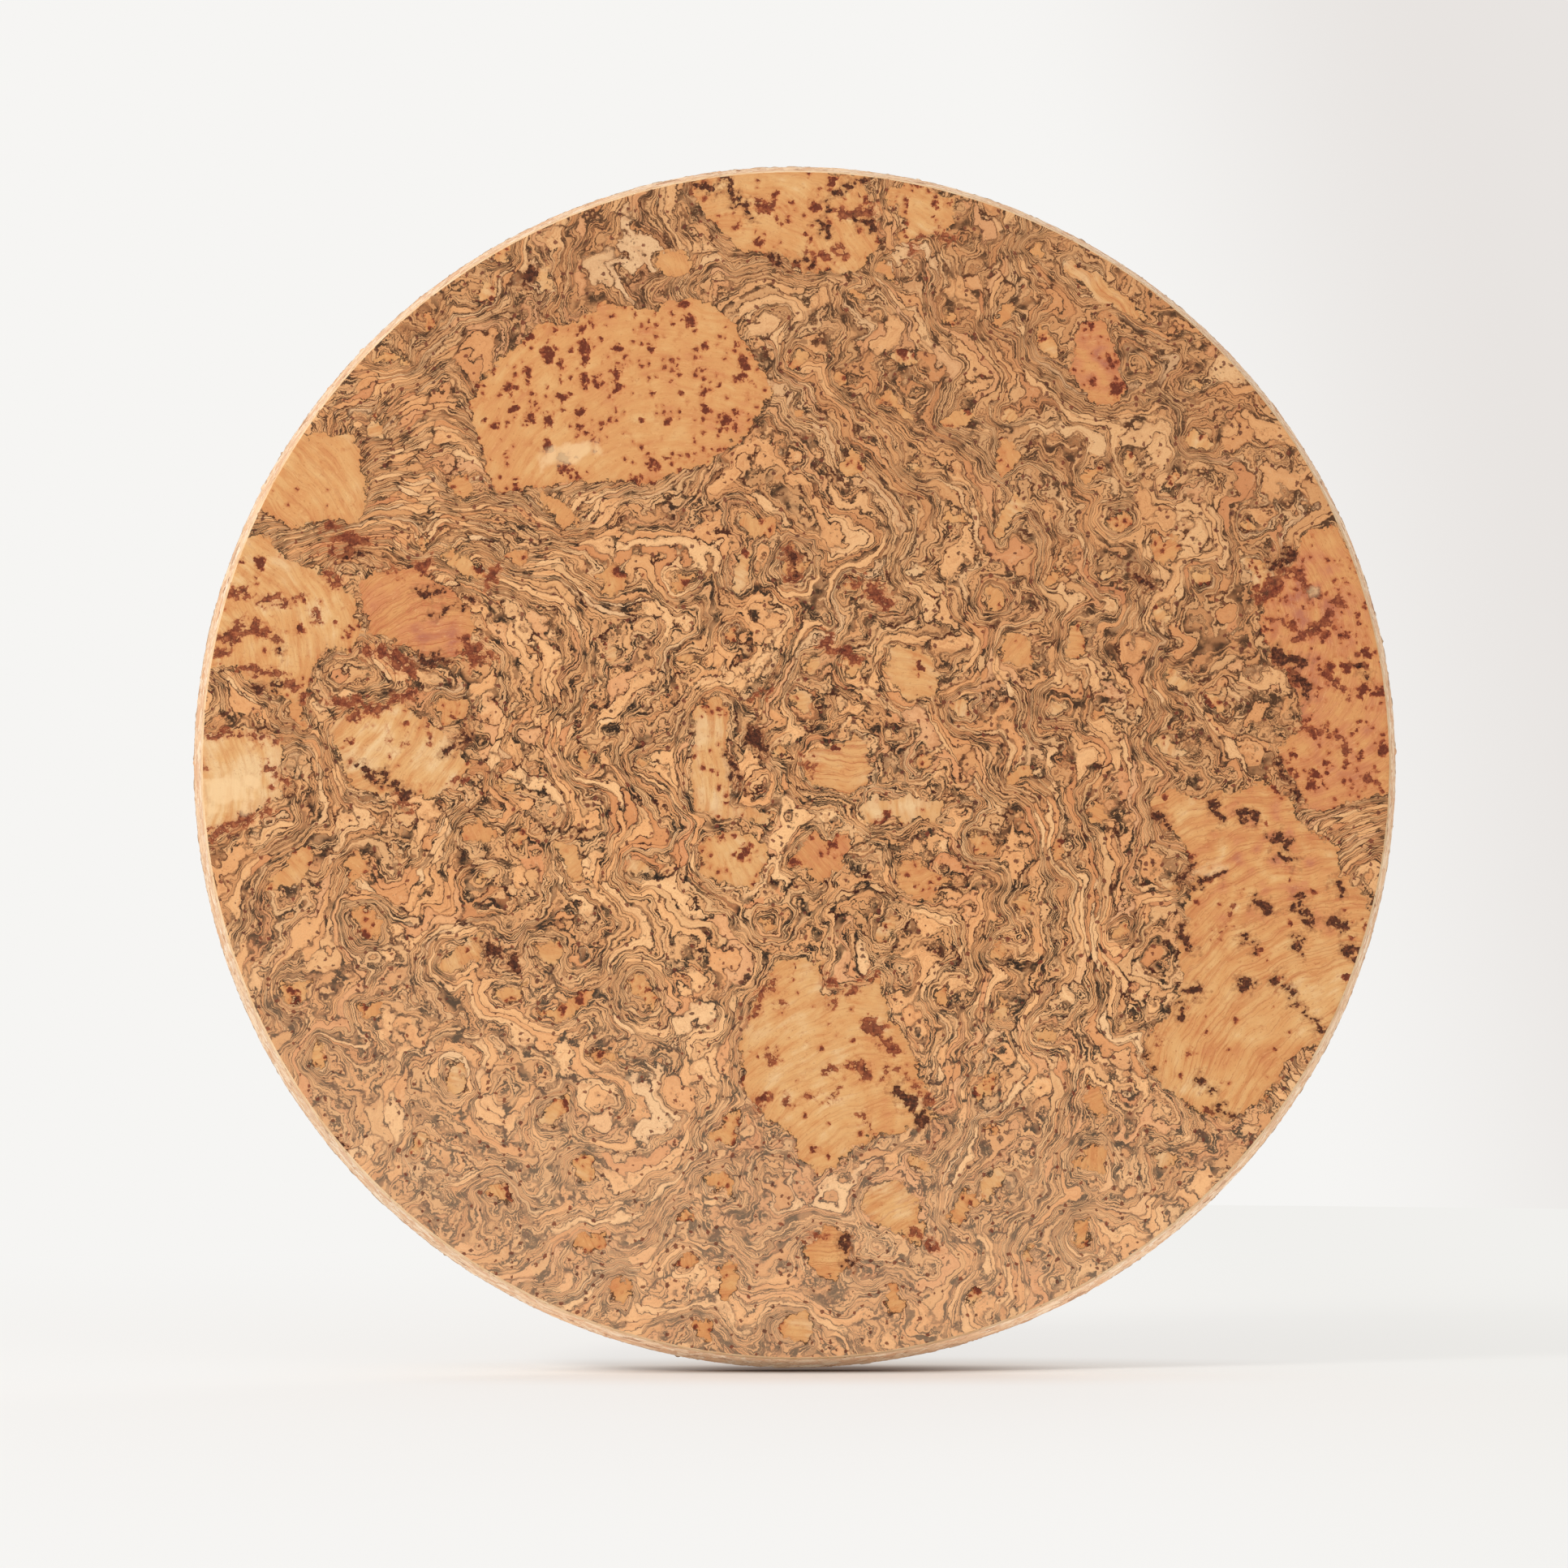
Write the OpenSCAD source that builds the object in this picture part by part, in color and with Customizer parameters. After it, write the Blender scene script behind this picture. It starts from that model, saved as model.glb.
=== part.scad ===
// Round frameless cork bulletin board, hung on two wall screws.
//
// A thin decorative cork sheet is bonded to a thick disc of pressed cork
// granules. The edge is cut at a slant, so the board is widest at the wall.
// A stiff fibreboard disc is let into the back, and two keyhole hangers are
// screwed to it, sunk below the back so that the board hangs flat.
//
// Frame: origin at the centre of the back face, which lies against the wall.
// +Y points into the wall, -Y out of the pinning face, +Z up,
// +X to the right of someone facing the board. Millimetres.

/* [Board] */
// Diameter at the back, where the board is widest
board_d = 450; // [420:5:600]
// How far the slanted edge runs in from back to front, on the radius
edge_flare = 5; // [0:0.5:8]
// Thickness of the whole board
board_t = 18; // [16:0.5:30]
// Thickness of the decorative cork sheet
face_t = 3; // [1.5:0.5:4]
// Size of the small bevel that eases the front edge
edge_ease = 0.5; // [0.2:0.1:1]

/* [Backing disc] */
// Width of the cork ring left around the backing disc, at the back
rim_w = 35; // [20:1:50]
// Thickness of the backing disc
panel_t = 6; // [5:0.5:7]
// Gap around the backing disc in its recess
panel_gap = 0.25; // [0.1:0.05:1]

/* [Keyhole hangers] */
// Distance between the two hangers, centre to centre
hanger_spacing = 200; // [120:5:220]
// Height of the keyhole entry holes above the middle of the board
hanger_height = 70; // [30:5:80]
// Length of a hanger plate
plate_l = 50; // [46:1:56]
// Width of a hanger plate
plate_w = 18; // [17:0.5:20]
// Thickness of a hanger plate
plate_t = 1.5; // [1.2:0.1:2]
// How far a hanger plate sits below the back of the board
plate_sink = 0.2; // [0.1:0.1:0.5]
// Diameter of the entry hole, for the wall screw's head
entry_d = 9; // [8:0.5:10]
// Width of the slot, for the wall screw's shank
slot_w = 4.5; // [4:0.5:5]
// Distance from the entry hole's centre to the end of the slot's run
slot_run = 10; // [8:0.5:11]

/* [Hanger screws] */
// Distance from the plate's middle to each screw
screw_offset = 18.5; // [18:0.5:20]
// Diameter of the screw's shank
screw_d = 3; // [2.5:0.1:3.5]
// Length of the screw over its head
screw_l = 8; // [7:0.25:8.5]

/* [Hidden] */

// Radii of the slanted edge at the back, at the glue line and at the front.
back_r = board_d / 2;
front_r = back_r - edge_flare;
core_t = board_t - face_t;
glue_r = back_r - edge_flare * core_t / board_t;

// Backing disc and the recess that takes it.
recess_r = back_r - rim_w;
panel_r = recess_r - panel_gap;

// Keyhole pocket through the backing disc, behind each plate.
pocket_w = plate_w - 6;
pocket_l = 24;
plate_bed = plate_t + plate_sink;

// The entry hole lies below the plate's middle and the slot runs up from it.
plate_mid_z = hanger_height + slot_run / 2;

// Countersunk head of a hanger screw: as high as the plate is thick.
head_h = plate_t;
head_r = screw_d / 2 + head_h;
screw_play = 0.05;
pilot_r = screw_d / 2 + screw_play;
pilot_depth = 3;

// Places anything drawn upwards from z = 0 so that it starts at the back
// plane and grows towards the pinning face.
module from_back(depth = 0) {
    translate([0, -depth, 0]) rotate([90, 0, 0]) children();
}

// Flat outline with round ends, standing upright on the middle of a plate.
module upright_slot(len, w, h) {
    run = len - w;
    union() {
        translate([0, run / 2, 0]) cylinder(d = w, h = h, $fn = 64);
        translate([0, -run / 2, 0]) cylinder(d = w, h = h, $fn = 64);
        translate([-w / 2, -run / 2, 0]) cube([w, run, h]);
    }
}

// Moves its children to the middle of each hanger plate in turn.
module at_plates() {
    for (side = [-1, 1])
        translate([side * hanger_spacing / 2, plate_mid_z, 0]) children();
}

// Moves its children to the two screws of one plate.
module at_screws() {
    for (end = [-1, 1]) translate([0, end * screw_offset, 0]) children();
}

// Decorative cork sheet: the pinning face, with its slanted edge.
module decorative_face() {
    color([0.80, 0.62, 0.44])
    from_back() rotate_extrude($fn = 240)
        polygon([
            [0, core_t],
            [glue_r, core_t],
            [front_r + edge_ease * edge_flare / board_t, board_t - edge_ease],
            [front_r - edge_ease, board_t],
            [0, board_t]
        ]);
}

// Disc of pressed cork granules, recessed at the back for the backing disc.
module cork_core() {
    color([0.86, 0.71, 0.56])
    from_back() difference() {
        rotate_extrude($fn = 240)
            polygon([
                [recess_r, 0],
                [back_r - 0.3, 0],
                [back_r, 0.3],
                [glue_r, core_t],
                [0, core_t],
                [0, panel_t],
                [recess_r, panel_t]
            ]);
        // Screw tips reach a little way into the cork.
        at_plates() at_screws()
            translate([0, 0, panel_t - 0.01])
                cylinder(r = pilot_r, h = pilot_depth, $fn = 48);
    }
}

// Fibreboard disc, flush with the back, that carries the hangers.
module backing_disc() {
    color([0.55, 0.42, 0.30])
    from_back() difference() {
        cylinder(r = panel_r, h = panel_t, $fn = 240);
        at_plates() {
            // Bed for the plate.
            translate([0, 0, -1])
                upright_slot(plate_l + 0.4, plate_w + 0.4, plate_bed + 1);
            // Room for the wall screw's head behind the plate.
            upright_slot(pocket_l, pocket_w, panel_t + 1);
            // Pilot holes for the hanger screws.
            at_screws() cylinder(r = pilot_r, h = panel_t + 1, $fn = 48);
        }
    }
}

// Steel plate with a keyhole between two countersunk screw holes.
module keyhole_plate() {
    difference() {
        upright_slot(plate_l, plate_w, plate_t);
        // Entry hole for the wall screw's head.
        translate([0, -slot_run / 2, -1])
            cylinder(d = entry_d, h = plate_t + 2, $fn = 96);
        // Slot for its shank, running up from the entry hole.
        translate([-slot_w / 2, -slot_run / 2, -1])
            cube([slot_w, slot_run, plate_t + 2]);
        translate([0, slot_run / 2, -1])
            cylinder(d = slot_w, h = plate_t + 2, $fn = 64);
        // Countersunk holes, wide at the back of the board.
        at_screws() {
            cylinder(r1 = head_r + screw_play, r2 = screw_d / 2 + screw_play,
                     h = plate_t, $fn = 64);
            translate([0, 0, -1])
                cylinder(r = pilot_r, h = plate_t + 2, $fn = 48);
        }
    }
}

module keyhole_hanger_left() {
    color([0.76, 0.77, 0.78])
    from_back(plate_sink)
        translate([-hanger_spacing / 2, plate_mid_z, 0]) keyhole_plate();
}

module keyhole_hanger_right() {
    color([0.76, 0.77, 0.78])
    from_back(plate_sink)
        translate([hanger_spacing / 2, plate_mid_z, 0]) keyhole_plate();
}

// Countersunk screw with a cross recess, drawn head first from z = 0.
module hanger_screw() {
    tip = 1.2;
    difference() {
        union() {
            cylinder(r1 = head_r, r2 = screw_d / 2, h = head_h, $fn = 64);
            translate([0, 0, head_h - 0.01])
                cylinder(d = screw_d, h = screw_l - head_h - tip + 0.01,
                         $fn = 48);
            translate([0, 0, screw_l - tip - 0.01])
                cylinder(r1 = screw_d / 2, r2 = 0.3, h = tip, $fn = 48);
        }
        for (turn = [45, 135])
            rotate([0, 0, turn]) translate([-1.4, -0.3, -1])
                cube([2.8, 0.6, 1.8]);
    }
}

// Four identical screws, two to a hanger.
module hanger_screws() {
    color([0.70, 0.70, 0.72])
    from_back(plate_sink) at_plates() at_screws() hanger_screw();
}

decorative_face();
cork_core();
backing_disc();
keyhole_hanger_left();
keyhole_hanger_right();
hanger_screws();
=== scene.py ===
import bpy
import bmesh
import math
import numpy as np
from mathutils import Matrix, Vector


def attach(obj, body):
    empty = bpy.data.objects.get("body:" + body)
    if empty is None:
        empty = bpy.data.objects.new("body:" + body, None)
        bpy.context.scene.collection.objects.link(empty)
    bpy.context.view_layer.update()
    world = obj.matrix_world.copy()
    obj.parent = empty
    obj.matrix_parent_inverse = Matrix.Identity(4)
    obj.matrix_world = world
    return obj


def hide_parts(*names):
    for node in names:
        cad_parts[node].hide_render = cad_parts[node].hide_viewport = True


MM = 0.001
FACE_Y, GLUE_Y = -18.0, -15.0
R_BACK, R_FACE = 225.0, 220.0
R_GLUE = R_BACK - 5.0 * 15.0 / 18.0
R_RECESS, RECESS_Y = 190.0, -6.0


# ------------------------------------------------------------ node language
def lin(c):
    return c / 12.92 if c <= 0.04045 else ((c + 0.055) / 1.055) ** 2.4


def srgb(r, g, b):
    return (lin(r / 255), lin(g / 255), lin(b / 255), 1.0)


class S:
    """A node socket with arithmetic."""

    def __init__(self, nb, sock):
        self.nb, self.sock = nb, sock

    def _op(self, op, o, swap=False):
        a, b = (o, self) if swap else (self, o)
        return self.nb.math(op, a, b)

    def __add__(self, o):
        return self._op("ADD", o)

    def __radd__(self, o):
        return self._op("ADD", o, True)

    def __sub__(self, o):
        return self._op("SUBTRACT", o)

    def __rsub__(self, o):
        return self._op("SUBTRACT", o, True)

    def __mul__(self, o):
        return self._op("MULTIPLY", o)

    def __rmul__(self, o):
        return self._op("MULTIPLY", o, True)

    def __truediv__(self, o):
        return self._op("DIVIDE", o)

    def __rtruediv__(self, o):
        return self._op("DIVIDE", o, True)

    def __neg__(self):
        return self._op("MULTIPLY", -1.0)


class NB:
    """Builds the same procedural fields in a shader tree or a geometry tree."""

    def __init__(self, tree, geo=False):
        self.t, self.geo = tree, geo

    def new(self, kind, **props):
        n = self.t.nodes.new(kind)
        for k, v in props.items():
            setattr(n, k, v)
        return n

    def put(self, v, sock):
        if isinstance(v, S):
            self.t.links.new(v.sock, sock)
        elif v is not None:
            sock.default_value = v

    def math(self, op, a, b=None, c=None, clamp=False):
        n = self.new("ShaderNodeMath", operation=op, use_clamp=clamp)
        self.put(a, n.inputs[0])
        if b is not None:
            self.put(b, n.inputs[1])
        if c is not None:
            self.put(c, n.inputs[2])
        return S(self, n.outputs[0])

    def vec(self, x=0.0, y=0.0, z=0.0):
        n = self.new("ShaderNodeCombineXYZ")
        for v, s in zip((x, y, z), n.inputs):
            self.put(v, s)
        return S(self, n.outputs[0])

    def sep(self, v):
        n = self.new("ShaderNodeSeparateXYZ")
        self.put(v, n.inputs[0])
        return [S(self, o) for o in n.outputs]

    def vmath(self, op, a, b=None, scale=None):
        n = self.new("ShaderNodeVectorMath", operation=op)
        self.put(a, n.inputs[0])
        if b is not None:
            self.put(b, n.inputs[1])
        if scale is not None:
            self.put(scale, n.inputs["Scale"])
        return S(self, n.outputs["Value" if op in ("LENGTH", "DOT_PRODUCT") else "Vector"])

    def pos(self):
        """Position in millimetres: x, y, z."""
        if self.geo:
            p = S(self, self.new("GeometryNodeInputPosition").outputs[0])
        else:
            p = S(self, self.new("ShaderNodeTexCoord").outputs["Object"])
        return self.sep(self.vmath("SCALE", p, scale=1000.0))

    def attr(self, name, vector=False):
        if self.geo:
            n = self.new("GeometryNodeInputNamedAttribute", data_type="FLOAT_VECTOR" if vector else "FLOAT")
            n.inputs["Name"].default_value = name
            return S(self, n.outputs["Attribute"])
        n = self.new("ShaderNodeAttribute", attribute_type="GEOMETRY", attribute_name=name)
        return S(self, n.outputs["Vector" if vector else "Fac"])

    def noise(self, v, scale=1.0, detail=2.0, rough=0.5, dist=0.0, dims="3D", lac=2.0):
        n = self.new("ShaderNodeTexNoise", noise_dimensions=dims)
        self.put(v, n.inputs["Vector"])
        for k, x in (("Scale", scale), ("Detail", detail), ("Roughness", rough), ("Distortion", dist), ("Lacunarity", lac)):
            self.put(x, n.inputs[k])
        return S(self, n.outputs[0]), S(self, n.outputs[1])

    def voronoi(self, v, scale=1.0, feature="F1", dims="3D", rnd=1.0, metric="EUCLIDEAN"):
        n = self.new("ShaderNodeTexVoronoi", voronoi_dimensions=dims, feature=feature)
        if feature != "DISTANCE_TO_EDGE":
            n.distance = metric
        self.put(v, n.inputs["Vector"])
        self.put(scale, n.inputs["Scale"])
        self.put(rnd, n.inputs["Randomness"])
        out = {o.name: S(self, o) for o in n.outputs if o.enabled}
        return out

    def white(self, v, dims="3D"):
        n = self.new("ShaderNodeTexWhiteNoise", noise_dimensions=dims)
        self.put(v, n.inputs["Vector"])
        return S(self, n.outputs[0]), S(self, n.outputs[1])

    def ramp(self, v, stops, interp="LINEAR"):
        n = self.new("ShaderNodeValToRGB")
        cr = n.color_ramp
        cr.interpolation = interp
        while len(cr.elements) < len(stops):
            cr.elements.new(0.5)
        for e, (p, c) in zip(cr.elements, stops):
            e.position, e.color = p, c
        self.put(v, n.inputs[0])
        return S(self, n.outputs[0])

    def step(self, v, a, b, lo=0.0, hi=1.0, smooth=True):
        n = self.new("ShaderNodeMapRange", interpolation_type="SMOOTHSTEP" if smooth else "LINEAR")
        n.clamp = True
        for k, x in (("Value", v), ("From Min", a), ("From Max", b), ("To Min", lo), ("To Max", hi)):
            self.put(x, n.inputs[k])
        return S(self, n.outputs[0])

    def mix(self, f, a, b, mode="MIX"):
        n = self.new("ShaderNodeMix", data_type="RGBA", blend_type=mode)
        n.clamp_factor = True
        ins = [i for i in n.inputs if i.enabled]
        self.put(f, ins[0])
        self.put(a, ins[1])
        self.put(b, ins[2])
        return S(self, [o for o in n.outputs if o.enabled][0])

    def mixf(self, f, a, b):
        n = self.new("ShaderNodeMix", data_type="FLOAT")
        n.clamp_factor = True
        ins = [i for i in n.inputs if i.enabled]
        self.put(f, ins[0])
        self.put(a, ins[1])
        self.put(b, ins[2])
        return S(self, [o for o in n.outputs if o.enabled][0])

    def max(self, a, b):
        return self.math("MAXIMUM", a, b)

    def min(self, a, b):
        return self.math("MINIMUM", a, b)

    def abs(self, a):
        return self.math("ABSOLUTE", a)

    def clamp(self, a):
        return self.math("ADD", a, 0.0, clamp=True)


def material(name):
    m = bpy.data.materials.new(name)
    m.use_nodes = True
    t = m.node_tree
    t.nodes.clear()
    out = t.nodes.new("ShaderNodeOutputMaterial")
    p = t.nodes.new("ShaderNodeBsdfPrincipled")
    t.links.new(p.outputs[0], out.inputs[0])
    return m, NB(t), p


def finish_principled(b, p, color, rough, height=None, dist=0.0002, strength=1.0, metallic=0.0, spec=0.3):
    b.put(color, p.inputs["Base Color"])
    b.put(rough, p.inputs["Roughness"])
    b.put(metallic, p.inputs["Metallic"])
    b.put(spec, p.inputs["Specular IOR Level"])
    if height is not None:
        n = b.new("ShaderNodeBump")
        b.put(strength, n.inputs["Strength"])
        b.put(dist, n.inputs["Distance"])
        b.put(height, n.inputs["Height"])
        b.t.links.new(n.outputs[0], p.inputs["Normal"])


# ------------------------------------------------------------ smooth fields in numpy
def perlin(x, y, seed):
    """Smooth gradient noise, about -1 to 1, repeatable."""
    rng = np.random.RandomState(seed)
    perm = rng.permutation(256)
    ang = rng.rand(256) * 2 * np.pi
    gx, gy = np.cos(ang), np.sin(ang)
    xi, yi = np.floor(x).astype(int), np.floor(y).astype(int)
    xf, yf = x - xi, y - yi
    u, v = (t * t * t * (t * (t * 6 - 15) + 10) for t in (xf, yf))

    def g(i, j):
        h = perm[(perm[(xi + i) % 256] + yi + j) % 256]
        return gx[h] * (xf - i) + gy[h] * (yf - j)

    a = g(0, 0) + u * (g(1, 0) - g(0, 0))
    c = g(0, 1) + u * (g(1, 1) - g(0, 1))
    return (a + v * (c - a)) * 1.5


def polygon_distance(x, z, pts):
    """Signed distance to a closed outline in mm, positive inside."""
    best = np.full(x.shape, 1e9)
    inside = np.zeros(x.shape, bool)
    n = len(pts)
    for i in range(n):
        x0, z0 = pts[i]
        x1, z1 = pts[(i + 1) % n]
        dx, dz = x1 - x0, z1 - z0
        t = np.clip(((x - x0) * dx + (z - z0) * dz) / (dx * dx + dz * dz), 0, 1)
        best = np.minimum(best, np.hypot(x - x0 - t * dx, z - z0 - t * dz))
        if z0 != z1:
            inside ^= ((z0 > z) != (z1 > z)) & (x < (x1 - x0) * (z - z0) / (z1 - z0) + x0)
    return np.where(inside, best, -best)


# The clear pieces of bark in the face. Outline in mm from the centre of the
# face; tone 0 pale to 1 red; pores 0 to 1; angle of the growth lines in
# degrees, how strong they are, and how far they bend.
SLABS = [
    # big oval, upper left
    ([(-123, 134), (-119, 121), (-115, 109), (-113, 101), (-99, 100), (-84, 103), (-66, 104), (-51, 104), (-42, 109), (-30, 112), (-24, 119), (-15, 129), (-8, 136), (-10, 142), (-17, 150), (-21, 159), (-25, 165), (-31, 171), (-39, 174), (-48, 172), (-54, 168), (-63, 169), (-72, 172), (-76, 170), (-80, 164), (-88, 162), (-97, 163), (-105, 154), (-112, 147), (-118, 142)], 0.54, 0.74, 106, 0.12, 0.5),
    # left edge, upper
    ([(-204, 92), (-195, 112), (-186, 120), (-175, 122), (-167, 122), (-162, 114), (-159, 106), (-159, 96), (-163, 89), (-175, 88), (-188, 87), (-195, 91)], 0.45, 0.08, 40, 0.35, 0.6),
    # left edge, middle
    ([(-210, 85), (-197, 84), (-191, 76), (-187, 73), (-175, 71), (-170, 67), (-165, 61), (-162, 55), (-161, 46), (-164, 41), (-175, 40), (-179, 34), (-181, 25), (-187, 22), (-199, 28), (-208, 34), (-219, 35), (-219, 50), (-214, 66)], 0.25, 0.22, 20, 0.30, 0.8),
    # deep orange one beside it
    ([(-163, 65), (-158, 72), (-145, 71), (-133, 67), (-125, 61), (-120, 57), (-120, 49), (-124, 43), (-129, 37), (-138, 38), (-145, 43), (-151, 44), (-159, 47), (-160, 55)], 0.86, 0.05, 108, 0.95, 1.0),
    # pale one below it
    ([(-173, 13), (-163, 19), (-145, 24), (-139, 17), (-130, 8), (-120, -2), (-125, -9), (-136, -13), (-145, -14), (-155, -13), (-166, -10), (-169, -1), (-172, 7)], 0.15, 0.18, -40, 0.35, 0.7),
    # left edge, lower
    ([(-221, 11), (-205, 12), (-194, 9), (-190, 5), (-190, -2), (-191, -13), (-196, -17), (-205, -21), (-214, -28), (-221, -29), (-222, -10)], 0.05, 0.02, 5, 0.2, 0.5),
    # top edge
    ([(-36, 219), (-2, 222), (25, 219), (26, 208), (31, 199), (30, 192), (24, 184), (16, 182), (9, 183), (1, 182), (-6, 187), (-11, 190), (-18, 190), (-24, 193), (-29, 198), (-36, 205), (-39, 211)], 0.40, 0.55, 60, 0.3, 0.8),
    # top edge, right
    ([(35, 217), (48, 215), (59, 210), (58, 203), (54, 197), (45, 194), (37, 193), (39, 201), (37, 208), (34, 211)], 0.38, 0.62, 70, 0.2, 0.5),
    # right edge, red
    ([(171, 59), (183, 73), (186, 83), (199, 88), (212, 70), (219, 46), (224, 22), (224, -11), (210, -14), (201, -17), (190, -17), (184, -10), (179, 1), (178, 8), (187, 13), (188, 22), (183, 32), (176, 43), (172, 50)], 0.80, 0.72, -25, 0.45, 1.0),
    # lower right, large
    ([(129, -14), (141, -11), (150, -14), (156, -10), (174, -8), (183, -13), (186, -20), (198, -31), (204, -41), (212, -50), (214, -60), (208, -84), (196, -106), (186, -108), (179, -117), (171, -126), (162, -133), (156, -133), (144, -127), (135, -120), (128, -108), (131, -99), (138, -93), (142, -78), (141, -62), (144, -53), (149, -41), (143, -32), (135, -23)], 0.36, 0.10, 124, 0.60, 0.45),
    # lower middle
    ([(-17, -92), (-9, -78), (-2, -73), (9, -73), (10, -88), (19, -85), (31, -79), (34, -90), (37, -97), (43, -108), (48, -121), (51, -132), (36, -138), (24, -141), (20, -142), (15, -148), (7, -153), (1, -147), (-3, -138), (-6, -135), (-14, -129), (-20, -121), (-21, -108)], 0.27, 0.16, 112, 0.30, 0.5),
    # small ovals at the bottom
    ([(26, -160), (30, -156), (36, -155), (42, -158), (46, -164), (48, -172), (46, -178), (40, -177), (33, -172), (27, -170), (24, -165)], 0.12, 0.02, 120, 0.5, 0.4),
    ([(2, -178), (6, -174), (12, -172), (18, -174), (21, -180), (20, -187), (14, -191), (6, -190), (2, -186)], 0.50, 0.03, 88, 0.7, 0.3),
    # pale streaks and small pieces in the middle
    ([(-39, 22), (-26, 23), (-25, 13), (-25, 1), (-24, -17), (-9, -19), (-11, -25), (-24, -22), (-39, -17), (-39, 4)], 0.18, 0.45, 2, 0.5, 0.2),
    ([(7, 6), (18, 7), (21, 11), (26, 7), (27, -8), (18, -11), (6, -10), (1, -7), (3, 1)], 0.30, 0.02, 92, 0.9, 0.2),
    ([(-33, -26), (-24, -26), (-12, -29), (-11, -38), (-17, -46), (-29, -46), (-36, -41), (-37, -32)], 0.28, 0.55, 30, 0.2, 0.4),
    ([(105, 163), (114, 165), (119, 154), (124, 139), (117, 133), (108, 134), (101, 145), (103, 156)], 0.85, 0.75, 80, 0.3, 0.4),
    ([(1, -31), (6, -27), (10, -30), (17, -26), (21, -31), (17, -35), (19, -40), (12, -41), (9, -47), (4, -44), (3, -39), (-5, -41), (-3, -35)], 0.82, 0.45, 40, 0.4, 0.4),
    ([(22, -17), (28, -12), (33, -16), (41, -11), (47, -14), (57, -15), (52, -19), (55, -22), (45, -20), (40, -24), (34, -21), (27, -25)], 0.06, 0.30, 10, 0.12, 0.4),
    ([(100, 189), (112, 182), (124, 172), (130, 165), (122, 166), (108, 176), (99, 183)], 0.1, 0.08, 42, 0.6, 0.3),
    ([(-52, 192), (-44, 191), (-38, 184), (-44, 179), (-52, 182)], 0.55, 0.1, 30, 0.3, 0.3),
    ([(32, 44), (44, 42), (53, 34), (52, 24), (42, 22), (33, 30)], 0.3, 0.1, 70, 0.3, 0.3),
    ([(36, -36), (48, -38), (56, -45), (50, -52), (38, -48)], 0.5, 0.25, 110, 0.3, 0.3),
    ([(-4, -205), (2, -203), (6, -208), (3, -214), (-5, -213)], 0.2, 0.1, 90, 0.3, 0.3),
]

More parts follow.
